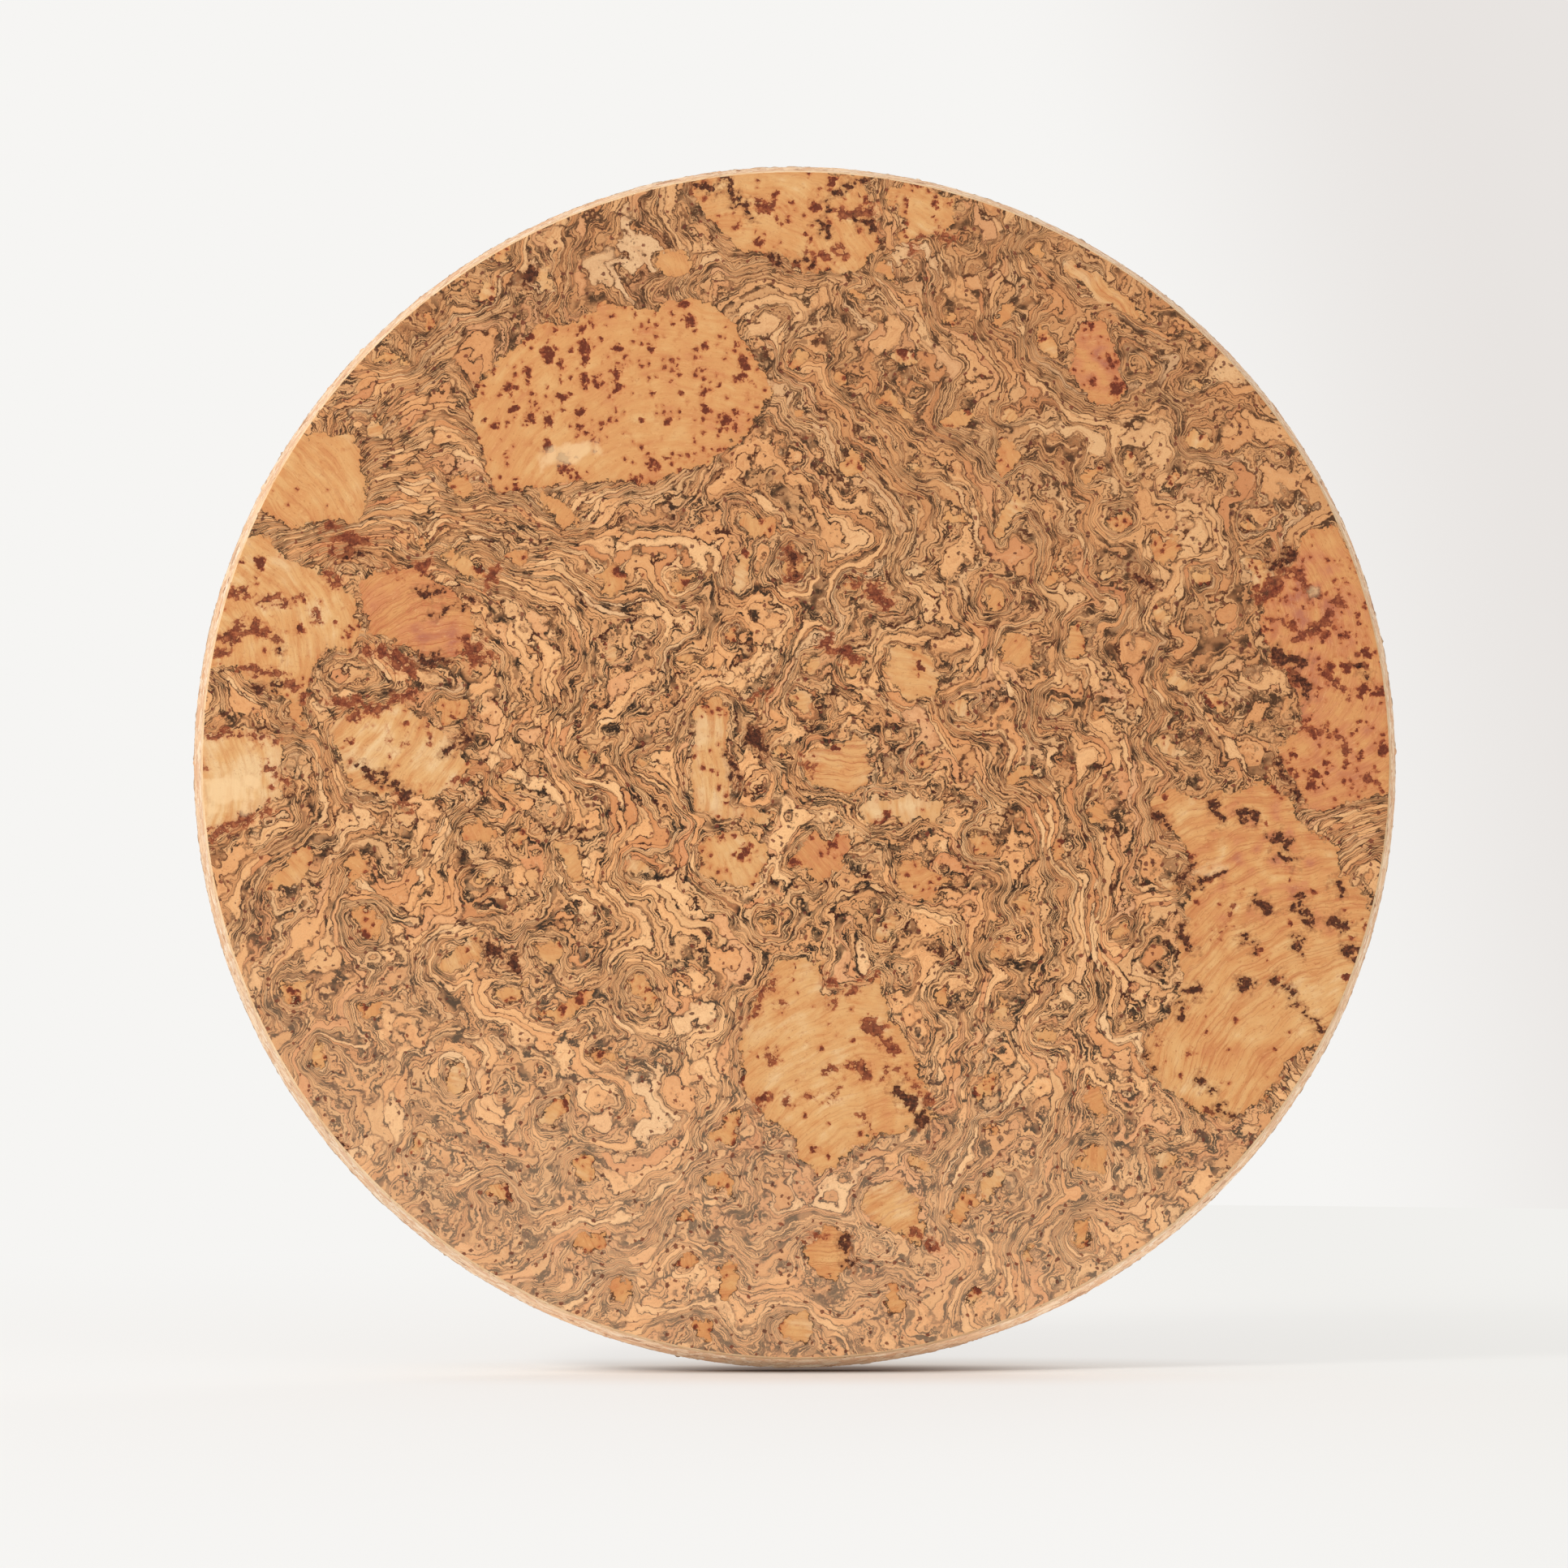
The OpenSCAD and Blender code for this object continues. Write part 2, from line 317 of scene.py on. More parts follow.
# Marks in the bark: x0, z0, x1, z1, half width in mm, and kind:
# r red-brown patch, d near-black crack or knot, c cream.
MARKS = [
    (-93, 112, -76, 116, 3.2, "c"), (-214, -13, -206, -11, 6.8, "c"),
    # left edge, middle piece
    (-217, 44, -201, 49, 2.6, "r"), (-214, 39, -207, 45, 2.2, "r"), (-209, 61, -204, 63, 1.8, "r"), (-199, 58, -193, 61, 1.4, "r"),
    (-191, 58, -184, 61, 1.7, "r"), (-195, 49, -192, 42, 1.8, "r"), (-179, 57, -177, 51, 1.2, "r"), (-206, 34, -190, 32, 1.6, "r"),
    (-189, 29, -182, 24, 2.0, "r"), (-208, 51, -204, 52, 1.0, "r"), (-199, 27, -192, 28, 1.4, "d"), (-192, 43, -191, 41, 1.0, "d"),
    # knots beside the upper pieces
    (-173, 86, -162, 81, 2.8, "r"), (-174, 77, -166, 77, 3.0, "r"), (-168, 75, -160, 77, 1.2, "d"), (-173, 69, -171, 66, 2.6, "r"),
    (-140, 72, -137, 74, 2.4, "r"), (-116, 66, -112, 70, 2.0, "r"), (-158, 41, -146, 36, 2.9, "r"), (-150, 39, -143, 33, 2.4, "r"),
    (-139, 38, -132, 37, 2.0, "d"), (-136, 34, -130, 38, 1.2, "d"), (-124, 43, -114, 39, 2.6, "r"), (-121, 35, -116, 43, 1.8, "r"),
    (-141, 62, -135, 64, 1.2, "d"), (-139, 62, -132, 62, 0.8, "d"), (-137, 54, -121, 59, 0.7, "d"), (-144, 69, -155, 71, 0.8, "r"),
    # pale piece
    (-172, 22, -158, 20, 2.2, "r"), (-165, 16, -150, 21, 1.4, "r"), (-150, 22, -142, 25, 1.5, "r"), (-164, -1, -153, -8, 1.2, "d"),
    (-153, -6, -144, -13, 1.7, "d"), (-147, -14, -143, -18, 1.6, "r"), (-130, 3, -122, 10, 1.4, "d"), (-128, -9, -122, -6, 1.3, "r"),
    (-152, 11, -150, 6, 0.8, "r"), (-138, 13, -135, 7, 0.8, "r"), (-145, 9, -144, 5, 0.6, "r"),
    # left edge, lower piece
    (-219, 10, -198, 9, 1.5, "r"), (-197, 9, -192, 8, 0.9, "r"), (-196, -2, -190, -8, 1.8, "r"), (-217, -28, -195, -18, 1.7, "r"), (-222, -1, -219, -2, 0.8, "r"),
    # top edge piece
    (-36, 215, -33, 213, 2.4, "d"), (-27, 217, -22, 209, 1.8, "d"), (-21, 208, -17, 203, 0.9, "d"), (-16, 208, -9, 206, 1.6, "r"),
    (15, 204, 27, 205, 2.4, "r"), (22, 202, 28, 199, 1.8, "d"), (15, 213, 25, 217, 0.7, "d"), (11, 209, 12, 204, 0.8, "d"),
    (8, 201, 10, 197, 0.9, "d"), (15, 193, 17, 189, 1.4, "r"), (4, 190, 14, 188, 1.8, "r"), (1, 187, 6, 184, 1.2, "d"), (-10, 188, -4, 184, 1.4, "d"),
    (53, 199, 57, 194, 1.6, "r"), (41, 192, 48, 196, 1.2, "r"),
    # right edge piece
    (173, 62, 183, 70, 3.4, "r"), (177, 73, 184, 78, 2.2, "d"), (187, 68, 194, 61, 2.6, "r"), (190, 65, 193, 63, 1.2, "c"),
    (186, 47, 198, 52, 2.8, "r"), (197, 55, 203, 60, 2.2, "r"), (195, 33, 204, 26, 1.8, "r"), (178, 40, 186, 38, 3.0, "d"), (186, 33, 190, 24, 1.4, "d"),
    (187, 13, 197, 11, 1.2, "r"), (197, 12, 204, 4, 1.8, "r"), (213, -6, 209, -9, 2.2, "r"), (174, 54, 190, 47, 1.0, "r"), (208, 36, 212, 32, 1.2, "d"),
    (178, 0, 186, -14, 1.0, "d"), (203, 75, 212, 68, 1.4, "r"),
    # lower right piece
    (133, -19, 137, -24, 1.8, "d"), (155, -15, 157, -22, 1.8, "d"), (165, -19, 170, -21, 1.5, "d"), (178, -28, 181, -30, 1.9, "d"),
    (179, -35, 184, -37, 1.6, "d"), (170, -52, 175, -55, 1.9, "d"), (186, -51, 185, -54, 1.2, "d"), (188, -54, 191, -60, 1.6, "d"),
    (198, -59, 203, -61, 2.4, "d"), (200, -45, 202, -49, 1.5, "d"), (204, -69, 209, -75, 1.6, "d"), (166, -65, 169, -69, 1.1, "d"),
    (185, -66, 187, -71, 1.2, "d"), (164, -81, 167, -84, 1.7, "d"), (146, -85, 150, -86, 1.8, "d"), (177, -80, 181, -84, 1.5, "d"),
    (180, -83, 186, -91, 0.9, "d"), (186, -91, 196, -101, 1.1, "d"), (141, -90, 142, -94, 1.0, "d"), (155, -128, 161, -131, 2.2, "d"),
    (149, -117, 153, -122, 0.9, "d"), (132, -99, 134, -104, 1.0, "r"), (129, -109, 132, -113, 1.1, "d"), (140, -45, 147, -38, 1.2, "d"),
    (149, -42, 158, -38, 1.6, "c"), (147, -47, 157, -41, 1.0, "d"), (155, -67, 165, -48, 0.6, "r"), (142, -62, 146, -70, 1.0, "d"),
    # lower middle piece
    (-17, -95, -9, -80, 1.1, "r"), (-8, -84, -6, -90, 1.6, "r"), (9, -78, 13, -84, 1.5, "r"), (12, -90, 16, -84, 1.2, "r"), (18, -86, 29, -79, 1.0, "r"),
    (27, -98, 34, -106, 3.0, "r"), (21, -112, 26, -116, 2.6, "r"), (11, -114, 13, -114, 1.8, "r"), (-10, -107, -9, -113, 1.0, "r"),
    (12, -125, 16, -121, 1.3, "r"), (-5, -123, -3, -126, 1.0, "r"), (4, -124, 6, -124, 1.2, "r"), (-14, -128, -10, -125, 1.2, "r"),
    (38, -122, 46, -132, 2.6, "d"), (31, -117, 39, -112, 1.4, "r"), (24, -130, 28, -138, 1.2, "r"), (42, -119, 50, -127, 1.6, "r"),
    # bottom ovals
    (41, -173, 44, -176, 2.0, "r"), (45, -176, 51, -179, 2.2, "r"), (17, -176, 19, -180, 1.9, "d"), (17, -185, 20, -186, 1.5, "d"), (5, -177, 9, -175, 1.6, "r"),
    # small pieces in the middle
    (-25, 2, -23, -6, 1.0, "d"), (-25, -1, -20, -11, 0.8, "d"), (-18, 12, -12, 4, 2.2, "d"), (2, 2, 6, -4, 1.5, "r"), (-18, 23, -10, 26, 1.2, "r"),
    # ring knot
    (-2, 76, 0, 70, 1.2, "d"), (-3, 78, -1, 68, 3.0, "r"), (24, 66, 32, 60, 3.4, "r"), (10, 45, 20, 38, 3.0, "r"),
    # dark spots in the shredded ground
    (-98, 182, -102, 178, 1.8, "d"), (126, 70, 130, 66, 1.6, "d"), (-116, -68, -104, -76, 2.2, "d"), (-172, -140, -166, -146, 1.6, "d"),
]

# Eddies: centre, radius and how many layers they wind up.
KNOTS = [
    (-1, 74, 15, 10), (93, 157, 13, 8), (-58, -85, 15, 10), (119, -63, 11, 7), (-3, -209, 9, 6), (-139, 80, 8, 5), (-126, -73, 17, 8),
    (108, -148, 15, 7), (-96, 112, 9, -5), (-44, 66, 9, 5), (33, 182, 9, 6), (-186, 17, 13, 9), (58, 90, 12, -6), (72, 60, 10, 6),
    (-160, -60, 14, 8), (-90, -130, 13, 8), (-110, -160, 12, 7), (-30, -155, 12, 7), (70, -120, 12, -7), (90, -100, 10, 6),
    (120, 90, 13, 8), (150, 120, 12, 7), (140, 30, 10, 6), (60, -165, 14, 7), (-70, 40, 10, -6), (-60, -40, 12, 7), (20, 110, 12, -7),
    (-150, 150, 10, 6), (-110, 190, 9, 5), (60, 20, 12, 7), (70, -30, 11, 6), (-10, -60, 9, 5), (-40, -185, 11, 6), (90, 190, 9, 5),
    (135, 55, 9, -5), (150, 70, 9, 6), (-125, -115, 12, 7), (-175, -110, 11, 7), (-65, -195, 10, 6), (105, -175, 12, 7),
    (0, 150, 10, 6), (40, 150, 11, -6), (-185, -85, 10, 6), (95, 20, 9, 5), (20, 65, 8, 5), (-80, 0, 10, 6), (75, -70, 10, 6),
]


# Reddish places in the clear bark: centre, radius, strength.
BLUSH = [
    (172, -32, 26, 0.75), (196, -52, 18, 0.35), (152, -62, 16, 0.25), (166, -108, 18, 0.25), (190, 62, 20, 0.5), (182, 28, 18, 0.5), (205, 5, 16, 0.35), (112, 150, 16, 0.5),
    (-200, 44, 14, 0.35), (-168, 78, 12, 0.6), (-132, 42, 16, 0.4), (-150, 14, 12, 0.3), (22, 205, 16, 0.35), (-8, 188, 12, 0.3),
    (32, -104, 14, 0.4), (30, -128, 14, 0.3), (-60, 150, 26, 0.25), (-30, 120, 16, 0.3), (-110, 118, 12, 0.3), (45, -176, 8, 0.5),
]


# The way the layers run: a place on the face and the direction across them.
RUNS = [
    (-66, 30, 1.0, 0.15), (112, 50, 1.0, 0.0), (62, 108, 0.52, 0.86), (-80, 95, 0.1, 1.0), (-30, 100, -0.5, 0.85),
    (-120, -55, -0.45, 0.9), (-100, -150, -0.3, 0.95), (80, -95, 0.85, -0.5), (-62, -105, 1.0, 0.25), (150, 115, 0.7, 0.7),
    (-125, 165, -0.6, 0.8), (20, 40, 0.8, 0.6), (30, -30, 0.4, 0.9), (110, -160, 0.5, -0.85), (0, -205, 0.1, 1.0),
    (190, -140, 0.7, -0.7), (-185, -90, 0.9, -0.4), (40, 175, 0.9, 0.2), (90, 0, 0.95, 0.3), (-100, 30, 0.8, -0.4),
    (-20, -60, 0.7, 0.6), (60, -150, 0.9, 0.1),
]


def drift(x, z):
    """Coordinates along and across the layers, blended so that neighbouring runs agree where they meet."""
    c = np.array([r[:2] for r in RUNS], float)
    n = np.array([r[2:] for r in RUNS], float)
    n /= np.linalg.norm(n, axis=1)[:, None]
    near = np.exp(-((c[:, None] - c[None]) ** 2).sum(-1) / (2 * 60.0 ** 2))
    np.fill_diagonal(near, 0)
    for _ in range(6):
        for i in range(len(n)):
            if (near[i][:, None] * n).sum(0) @ n[i] < 0:
                n[i] = -n[i]
    t = np.stack([-n[:, 1], n[:, 0]], -1)
    out = []
    for d in (t, n):
        rows, rhs = [], []
        for i in range(len(c)):
            for j in range(i):
                w = near[i, j]
                if w > 0.02:
                    mid = (c[i] + c[j]) / 2
                    row = np.zeros(len(c))
                    row[i], row[j] = w, -w
                    rows.append(row)
                    rhs.append(-w * (d[i] @ (mid - c[i]) - d[j] @ (mid - c[j])))
        row = np.zeros(len(c))
        row[0] = 1
        off = np.linalg.lstsq(np.array(rows + [row]), np.array(rhs + [0.0]), rcond=None)[0]
        total, val = 1e-9, 0.0
        for i in range(len(c)):
            w = np.exp(-((x - c[i, 0]) ** 2 + (z - c[i, 1]) ** 2) / (2 * 38.0 ** 2))
            total = total + w
            val = val + w * (d[i, 0] * (x - c[i, 0]) + d[i, 1] * (z - c[i, 1]) + off[i])
        out.append(val / total)
    return out


def nodules():
    """Small clear pieces strewn through the ground, kept off the big ones and off each other."""
    rng = np.random.RandomState(7)
    big = [np.array(p[0], float) for p in SLABS]
    put = [(k[0], k[1]) for k in KNOTS]
    spots = [(cx, cz, r * 0.36) for cx, cz, r, _ in KNOTS]
    while len(spots) < 150:
        a, q = rng.rand() * 2 * np.pi, 214 * math.sqrt(rng.rand())
        cx, cz, r = q * math.cos(a), q * math.sin(a), 2.6 + 3.6 * rng.rand() ** 2
        if min(math.hypot(cx - u, cz - v) for u, v in put) > 15 and min(np.hypot(*(p - (cx, cz)).T).min() for p in big) > 10:
            put.append((cx, cz))
            spots.append((cx, cz, r))
    out = []
    for cx, cz, r in spots:
        turn, n = rng.rand() * np.pi, 9
        long = 1.0 + 0.8 * rng.rand()
        lobe = 1 + 0.42 * (rng.rand(n) - 0.5) * 2
        pts = []
        for i in range(n):
            a = 2 * np.pi * i / n
            u, v = r * lobe[i] * math.cos(a) * long, r * lobe[i] * math.sin(a) / math.sqrt(long)
            pts.append((cx + u * math.cos(turn) - v * math.sin(turn), cz + u * math.sin(turn) + v * math.cos(turn)))
        out.append((pts, 0.08 + 0.58 * rng.rand(), 0.15 + 0.5 * rng.rand(), math.degrees(turn), 0.5 * rng.rand(), 0.3))
    return out


def face_fields(x, z):
    """Slow fields over the face, one value for each point, in mm."""
    warp = 4.5
    xw = x + warp * 0.5 * perlin(x / 13, z / 13, 11) + 1.6 * perlin(x / 4.6, z / 4.6, 12)
    zw = z + warp * 0.5 * perlin(x / 13, z / 13, 13) + 1.6 * perlin(x / 4.6, z / 4.6, 14)
    slab = np.full(x.shape, -999.0)
    tone, pores = np.zeros(x.shape), np.zeros(x.shape)
    grow, grow_k = np.zeros(x.shape), np.zeros(x.shape)
    phi, psi = drift(x, z)
    # slow folding of the whole ground
    psi += 9 * perlin(x / 70, z / 70, 21) + 9 * perlin(x / 36, z / 36, 22)
    phi += 12 * perlin(x / 70, z / 70, 23) + 10 * perlin(x / 36, z / 36, 24)
    for pts, t, p, ang, gk, bend in SLABS + nodules():
        d = polygon_distance(xw, zw, pts)
        use = d > slab
        slab = np.where(use, d, slab)
        a = math.radians(ang)
        cx, cz = np.mean([q[0] for q in pts]), np.mean([q[1] for q in pts])
        u = (x - cx) * math.cos(a) + (z - cz) * math.sin(a)
        v = -(x - cx) * math.sin(a) + (z - cz) * math.cos(a)
        g = u + bend * v * v / 60 + 2.2 * perlin(x / 14, z / 14, 31)
        tone, pores = np.where(use, t, tone), np.where(use, p, pores)
        grow, grow_k = np.where(use, g, grow), np.where(use, gk, grow_k)
        # layers part round a piece the way a stream parts round a stone
        area = 0.5 * abs(sum(pts[i][0] * pts[(i + 1) % len(pts)][1] - pts[(i + 1) % len(pts)][0] * pts[i][1] for i in range(len(pts))))
        r2 = area / math.pi
        dx, dz = x - cx, z - cz
        q2 = np.maximum(dx * dx + dz * dz, r2)
        psi -= r2 * dx / q2
        phi += r2 * dz / q2
    # and lie close round it
    psi += 15.0 * np.exp(-np.clip(-slab, 0, 60) / 8.0)
    # reddish places in the bark
    for cx, cz, r, k in BLUSH:
        tone = tone + k * np.exp(-((x - cx) ** 2 + (z - cz) ** 2) / (r * r)) * (0.55 + 1.1 * perlin(x / 5, z / 5, 51))
    taper = np.clip(-slab / 9.0, 0, 1)
    taper = taper * taper * (3 - 2 * taper)
    eddy = np.zeros(x.shape)
    for cx, cz, r, k in KNOTS:
        q = ((xw - cx) ** 2 + (zw - cz) ** 2) / (r * r)
        eddy += k * 2.0 * np.exp(-q * 2.2)
    marks = {"r": np.full(x.shape, -9.0), "d": np.full(x.shape, -9.0), "c": np.full(x.shape, -9.0)}
    xs = x + 2.2 * perlin(x / 5.2, z / 5.2, 41)
    zs = z + 2.2 * perlin(x / 5.2, z / 5.2, 42)
    grown = 0.80 + 0.85 * perlin(x / 4.4, z / 4.4, 43)
    for x0, z0, x1, z1, r, kind in MARKS:
        dx, dz = x1 - x0, z1 - z0
        t = np.clip(((xs - x0) * dx + (zs - z0) * dz) / max(dx * dx + dz * dz, 1e-6), 0, 1)
        d = r * grown - np.hypot(xs - x0 - t * dx, zs - z0 - t * dz)
        marks[kind] = np.maximum(marks[kind], d)
    return {
        "slab": slab,
        "flow": np.stack([phi, psi, eddy], -1),
        "sprop": np.stack([tone, pores, grow_k], -1),
        "grow": grow,
        "taper": taper,
        "marks": np.stack([marks["r"], marks["d"], marks["c"]], -1),
    }


def set_attr(me, name, values):
    values = np.asarray(values, np.float32)
    kind = "FLOAT_VECTOR" if values.ndim == 2 else "FLOAT"
    a = me.attributes.new(name, kind, "POINT")
    a.data.foreach_set("vector" if values.ndim == 2 else "value", values.ravel())


# ------------------------------------------------------------ cork face, fields shared by colour and relief
def cork_face(b):
    """Returns colour, fine height, relief height in mm and roughness of the pinning face."""
    x, y, z = b.pos()
    P = b.vec(x, z, 0.0)
    slab = b.attr("slab")
    phi, psi, eddy = b.sep(b.attr("flow", True))
    tone, pores, grow_k = b.sep(b.attr("sprop", True))
    grow = b.attr("grow")
    taper = b.attr("taper")
    m_red, m_dark, m_cream = b.sep(b.attr("marks", True))

    # --- ground: torn shreds of bark, laid along the flow, some of them split into thin layers
    n1, c1 = b.noise(P, 1 / 17.0, 1.0, 0.5)
    n2, c2 = b.noise(P, 1 / 7.0, 1.0, 0.5)
    n3, c3 = b.noise(P, 1 / 2.6, 2.0, 0.6)
    n4, c4 = b.noise(P, 1 / 1.0, 2.0, 0.6)
    a1, a2, _ = b.sep(c1)
    b1, b2, b3 = b.sep(c2)
    d1, d2, d3 = b.sep(c3)
    k1, k2, k3 = b.sep(c4)
    ps = psi + eddy + (a1 - 0.5) * 21.0 * taper + (b1 - 0.5) * (7.0 * taper + 1.0)
    ph = phi + (a2 - 0.5) * 21.0 * taper + (b2 - 0.5) * 7.0
    psj = ps + (d1 - 0.5) * 3.0 + (k1 - 0.5) * 1.3
    phj = ph + (d2 - 0.5) * 5.0 + (k2 - 0.5) * 2.0
    # torn pieces
    qa = b.vec(psj / 3.9, phj / 14.0, 0.0)
    va = b.voronoi(qa, 1.0, dims="2D")
    ea = b.voronoi(qa, 1.0, "DISTANCE_TO_EDGE", dims="2D")["Distance"]
    ha1, ha2, ha3 = b.sep(va["Color"])
    # thin layers inside some of them
    qb = b.vec(psj / 1.5 + ha1 * 31.0, phj / 32.0 + ha2 * 17.0, 0.0)
    vb = b.voronoi(qb, 1.0, dims="2D")
    eb = b.voronoi(qb, 1.0, "DISTANCE_TO_EDGE", dims="2D")["Distance"]
    hb1, hb2, hb3 = b.sep(vb["Color"])
    reg, rc = b.noise(P, 1 / 26.0, 1.0, 0.5)
    rg1, rg2, rg3 = b.sep(rc)
    split = b.step(ha3 + (rg1 - 0.5) * 1.6 + (1.0 - taper) * 0.35, 0.38, 0.40)
    # how wide and how dark the seams are changes slowly and quickly
    wn, _ = b.noise(P, 1 / 4.2, 2.0, 0.65)
    w1, w2, w3 = b.sep(b.noise(P, 1 / 5.5, 1.0, 0.45)[1])
    seam = b.step(w1, 0.38, 0.64, 0.03, 0.27)
    la = 1.0 - b.step(ea * 3.9, seam * 0.45, seam * 0.9 + 0.21)
    lb = (1.0 - b.step(eb * 1.5, seam * 0.3, seam * 0.62 + 0.16)) * split
    line = b.max(la * b.step(w2, 0.34, 0.54, 0.50, 1.0), lb * b.step(w3, 0.36, 0.58, 0.46, 1.0))
    # dark rubble between pieces
    smut = b.step(wn + (k3 - 0.5) * 0.44, 0.64, 0.68) * b.step(b.min(ea * 3.9, eb * 1.5), 0.12, 0.75, 1.0, 0.0)
    hc = b.mixf(split, ha1, b.clamp(ha1 * 0.45 + hb1 * 0.6))
    base = b.ramp(hc, [
        (0.0, srgb(219, 149, 97)), (0.15, srgb(236, 169, 112)), (0.4, srgb(247, 186, 127)),
        (0.7, srgb(252, 197, 139)), (0.95, srgb(252, 204, 149)), (1.0, srgb(252, 209, 159)),
    ])
    pink = b.mixf(split, ha2, b.clamp(ha2 * 0.7 + hb2 * 0.3))
    base = b.mix(b.step(pink, 0.72, 0.92, 0.0, 0.50), base, srgb(219, 144, 100))
    base = b.mix(b.step(pink, 0.20, 0.06, 0.0, 0.4), base, srgb(212, 160, 108))
    gn, _ = b.noise(P, 1 / 0.55, 2.0, 0.6)
    streak, _ = b.noise(b.vec(psj * 1.5, ph * 0.14, ha2 * 40.0), 1.0, 3.0, 0.65)
    base = b.mix(b.step(streak, 0.48, 0.66, 0.0, 0.45), base, srgb(196, 122, 74))
    base = b.mix(b.step(streak, 0.44, 0.30, 0.0, 0.35), base, srgb(244, 200, 150))
    base = b.mix(b.step(gn, 0.35, 0.7, 0.0, 0.22), base, srgb(196, 132, 86))
    bundle = split * b.step(reg, 0.42, 0.60, 0.35, 1.0) * b.step(hb2, 0.2, 0.9, 1.0, 0.35)
    base = b.mix(bundle * 0.26, base, srgb(176, 134, 90))
    ink = b.mix(b.step(w3 + (k3 - 0.5) * 0.3, 0.42, 0.58), srgb(70, 32, 22), srgb(50, 38, 29))
    ink = b.mix(b.step(k2, 0.45, 0.65, 0.0, 0.5), ink, srgb(32, 23, 19))
    soft = b.step(b.min(ea * 3.9, b.mixf(split, 9.0, eb * 1.5)), 0.10, 1.0, 0.27, 0.0)
    ground = b.mix(soft, base, srgb(172, 104, 66))
    ground = b.mix(smut * 0.55, ground, b.mix(b.step(k1, 0.40, 0.60), srgb(112, 74, 50), srgb(74, 56, 44)))
    ground = b.mix(line * b.step(n3, 0.28, 0.48, 0.74, 1.0), ground, ink)
    # the sheet is a little darker towards one side
    ground = b.mix(b.step(x * 0.6 + z * 0.8, -40.0, 190.0, 0.0, 0.24), ground, srgb(150, 98, 62))
    ground = b.mix(b.step(z * 0.3 - x * 0.9, 30.0, 190.0, 0.0, 0.12), ground, srgb(150, 98, 62))
    ground = b.mix(b.step(z * 0.95 + x * 0.15, -50.0, -190.0, 0.0, 0.24), ground, srgb(240, 200, 162))
    # specks of hard tissue
    sp = b.voronoi(b.vec(x + (d1 - 0.5) * 2.4 + (k1 - 0.5) * 1.2, z + (d2 - 0.5) * 2.4 + (k2 - 0.5) * 1.2, 0.0), 1 / 3.0, dims="2D")
    sr, sg, sb = b.sep(sp["Color"])
    sp_r = b.step(sr, 0.62, 1.0, 0.05, 0.85, smooth=False)
    speck = b.step(sp_r - sp["Distance"] * 3.0, -0.10, 0.16) * b.step(sr, 0.62, 0.64)
    ground = b.mix(speck * 0.85, ground, b.mix(sg, srgb(126, 62, 44), srgb(88, 50, 40)))

    # --- clear bark
    e1, ec = b.noise(P, 1 / 2.2, 3.0, 0.62)
    sd = slab + (e1 - 0.5) * 5.0 + (n3 - 0.5) * 3.5
    inside = b.step(sd, -0.1, 0.25)
    t1, tc = b.noise(P, 1 / 13.0, 3.0, 0.55)
    t2, _ = b.noise(b.vec(grow * 0.33, x * 0.05, z * 0.05), 1.0, 3.0, 0.6)
    tt = b.clamp((tone * 0.85 + (t1 - 0.5) * 1.2 + (t2 - 0.5) * 0.9 + 0.08) * 0.78)
    bark = b.ramp(tt, [
        (0.0, srgb(238, 200, 150)), (0.20, srgb(229, 178, 119)), (0.40, srgb(223, 163, 104)),
        (0.58, srgb(219, 154, 98)), (0.78, srgb(214, 142, 96)), (1.0, srgb(188, 116, 90)),
    ])
    bark = b.mix(b.step(sd, 0.0, 5.5, 0.32, 0.0), bark, srgb(205, 134, 82))
    bark = b.mix(b.step(t2, 0.53, 0.64, 0.0, 0.38) * b.step(grow_k, 0.1, 0.6, 0.45, 1.0), bark, srgb(200, 122, 72))
    gl, _ = b.noise(b.vec((grow + (b1 - 0.5) * 2.6 + (d3 - 0.5) * 0.9) * 0.95, t1 * 1.5, 3.0), 1.0, 2.0, 0.75)
    gln = b.step(gl, 0.50, 0.66) * grow_k
    bark = b.mix(gln * b.step(t1, 0.3, 0.6, 0.45, 0.85), bark, b.mix(b.step(k3, 0.4, 0.6), srgb(172, 100, 58), srgb(188, 96, 64)))
    rs, _ = b.noise(P, 1 / 6.0, 3.0, 0.7)
    bark = b.mix(b.step(rs, 0.56, 0.75, 0.0, 0.5), bark, srgb(198, 118, 70))
    bark = b.mix(b.step(gn, 0.35, 0.7, 0.0, 0.16), bark, srgb(205, 150, 98))
    # short dashes and freckles of harder tissue
    dash, _ = b.noise(b.vec(grow * 1.5, x * 0.35 + d1 * 2.0, z * 0.35 + d2 * 2.0), 1.0, 2.0, 0.7)
    bark = b.mix(b.step(dash, 0.60, 0.70, 0.0, 0.50) * b.step(grow_k, 0.1, 0.6, 0.5, 1.0), bark, srgb(178, 104, 62))
    bark = b.mix(b.step(k2, 0.62, 0.74, 0.0, 0.38), bark, srgb(176, 102, 60))
    bark = b.mix(b.step(dash, 0.40, 0.30, 0.0, 0.35), bark, srgb(240, 190, 132))
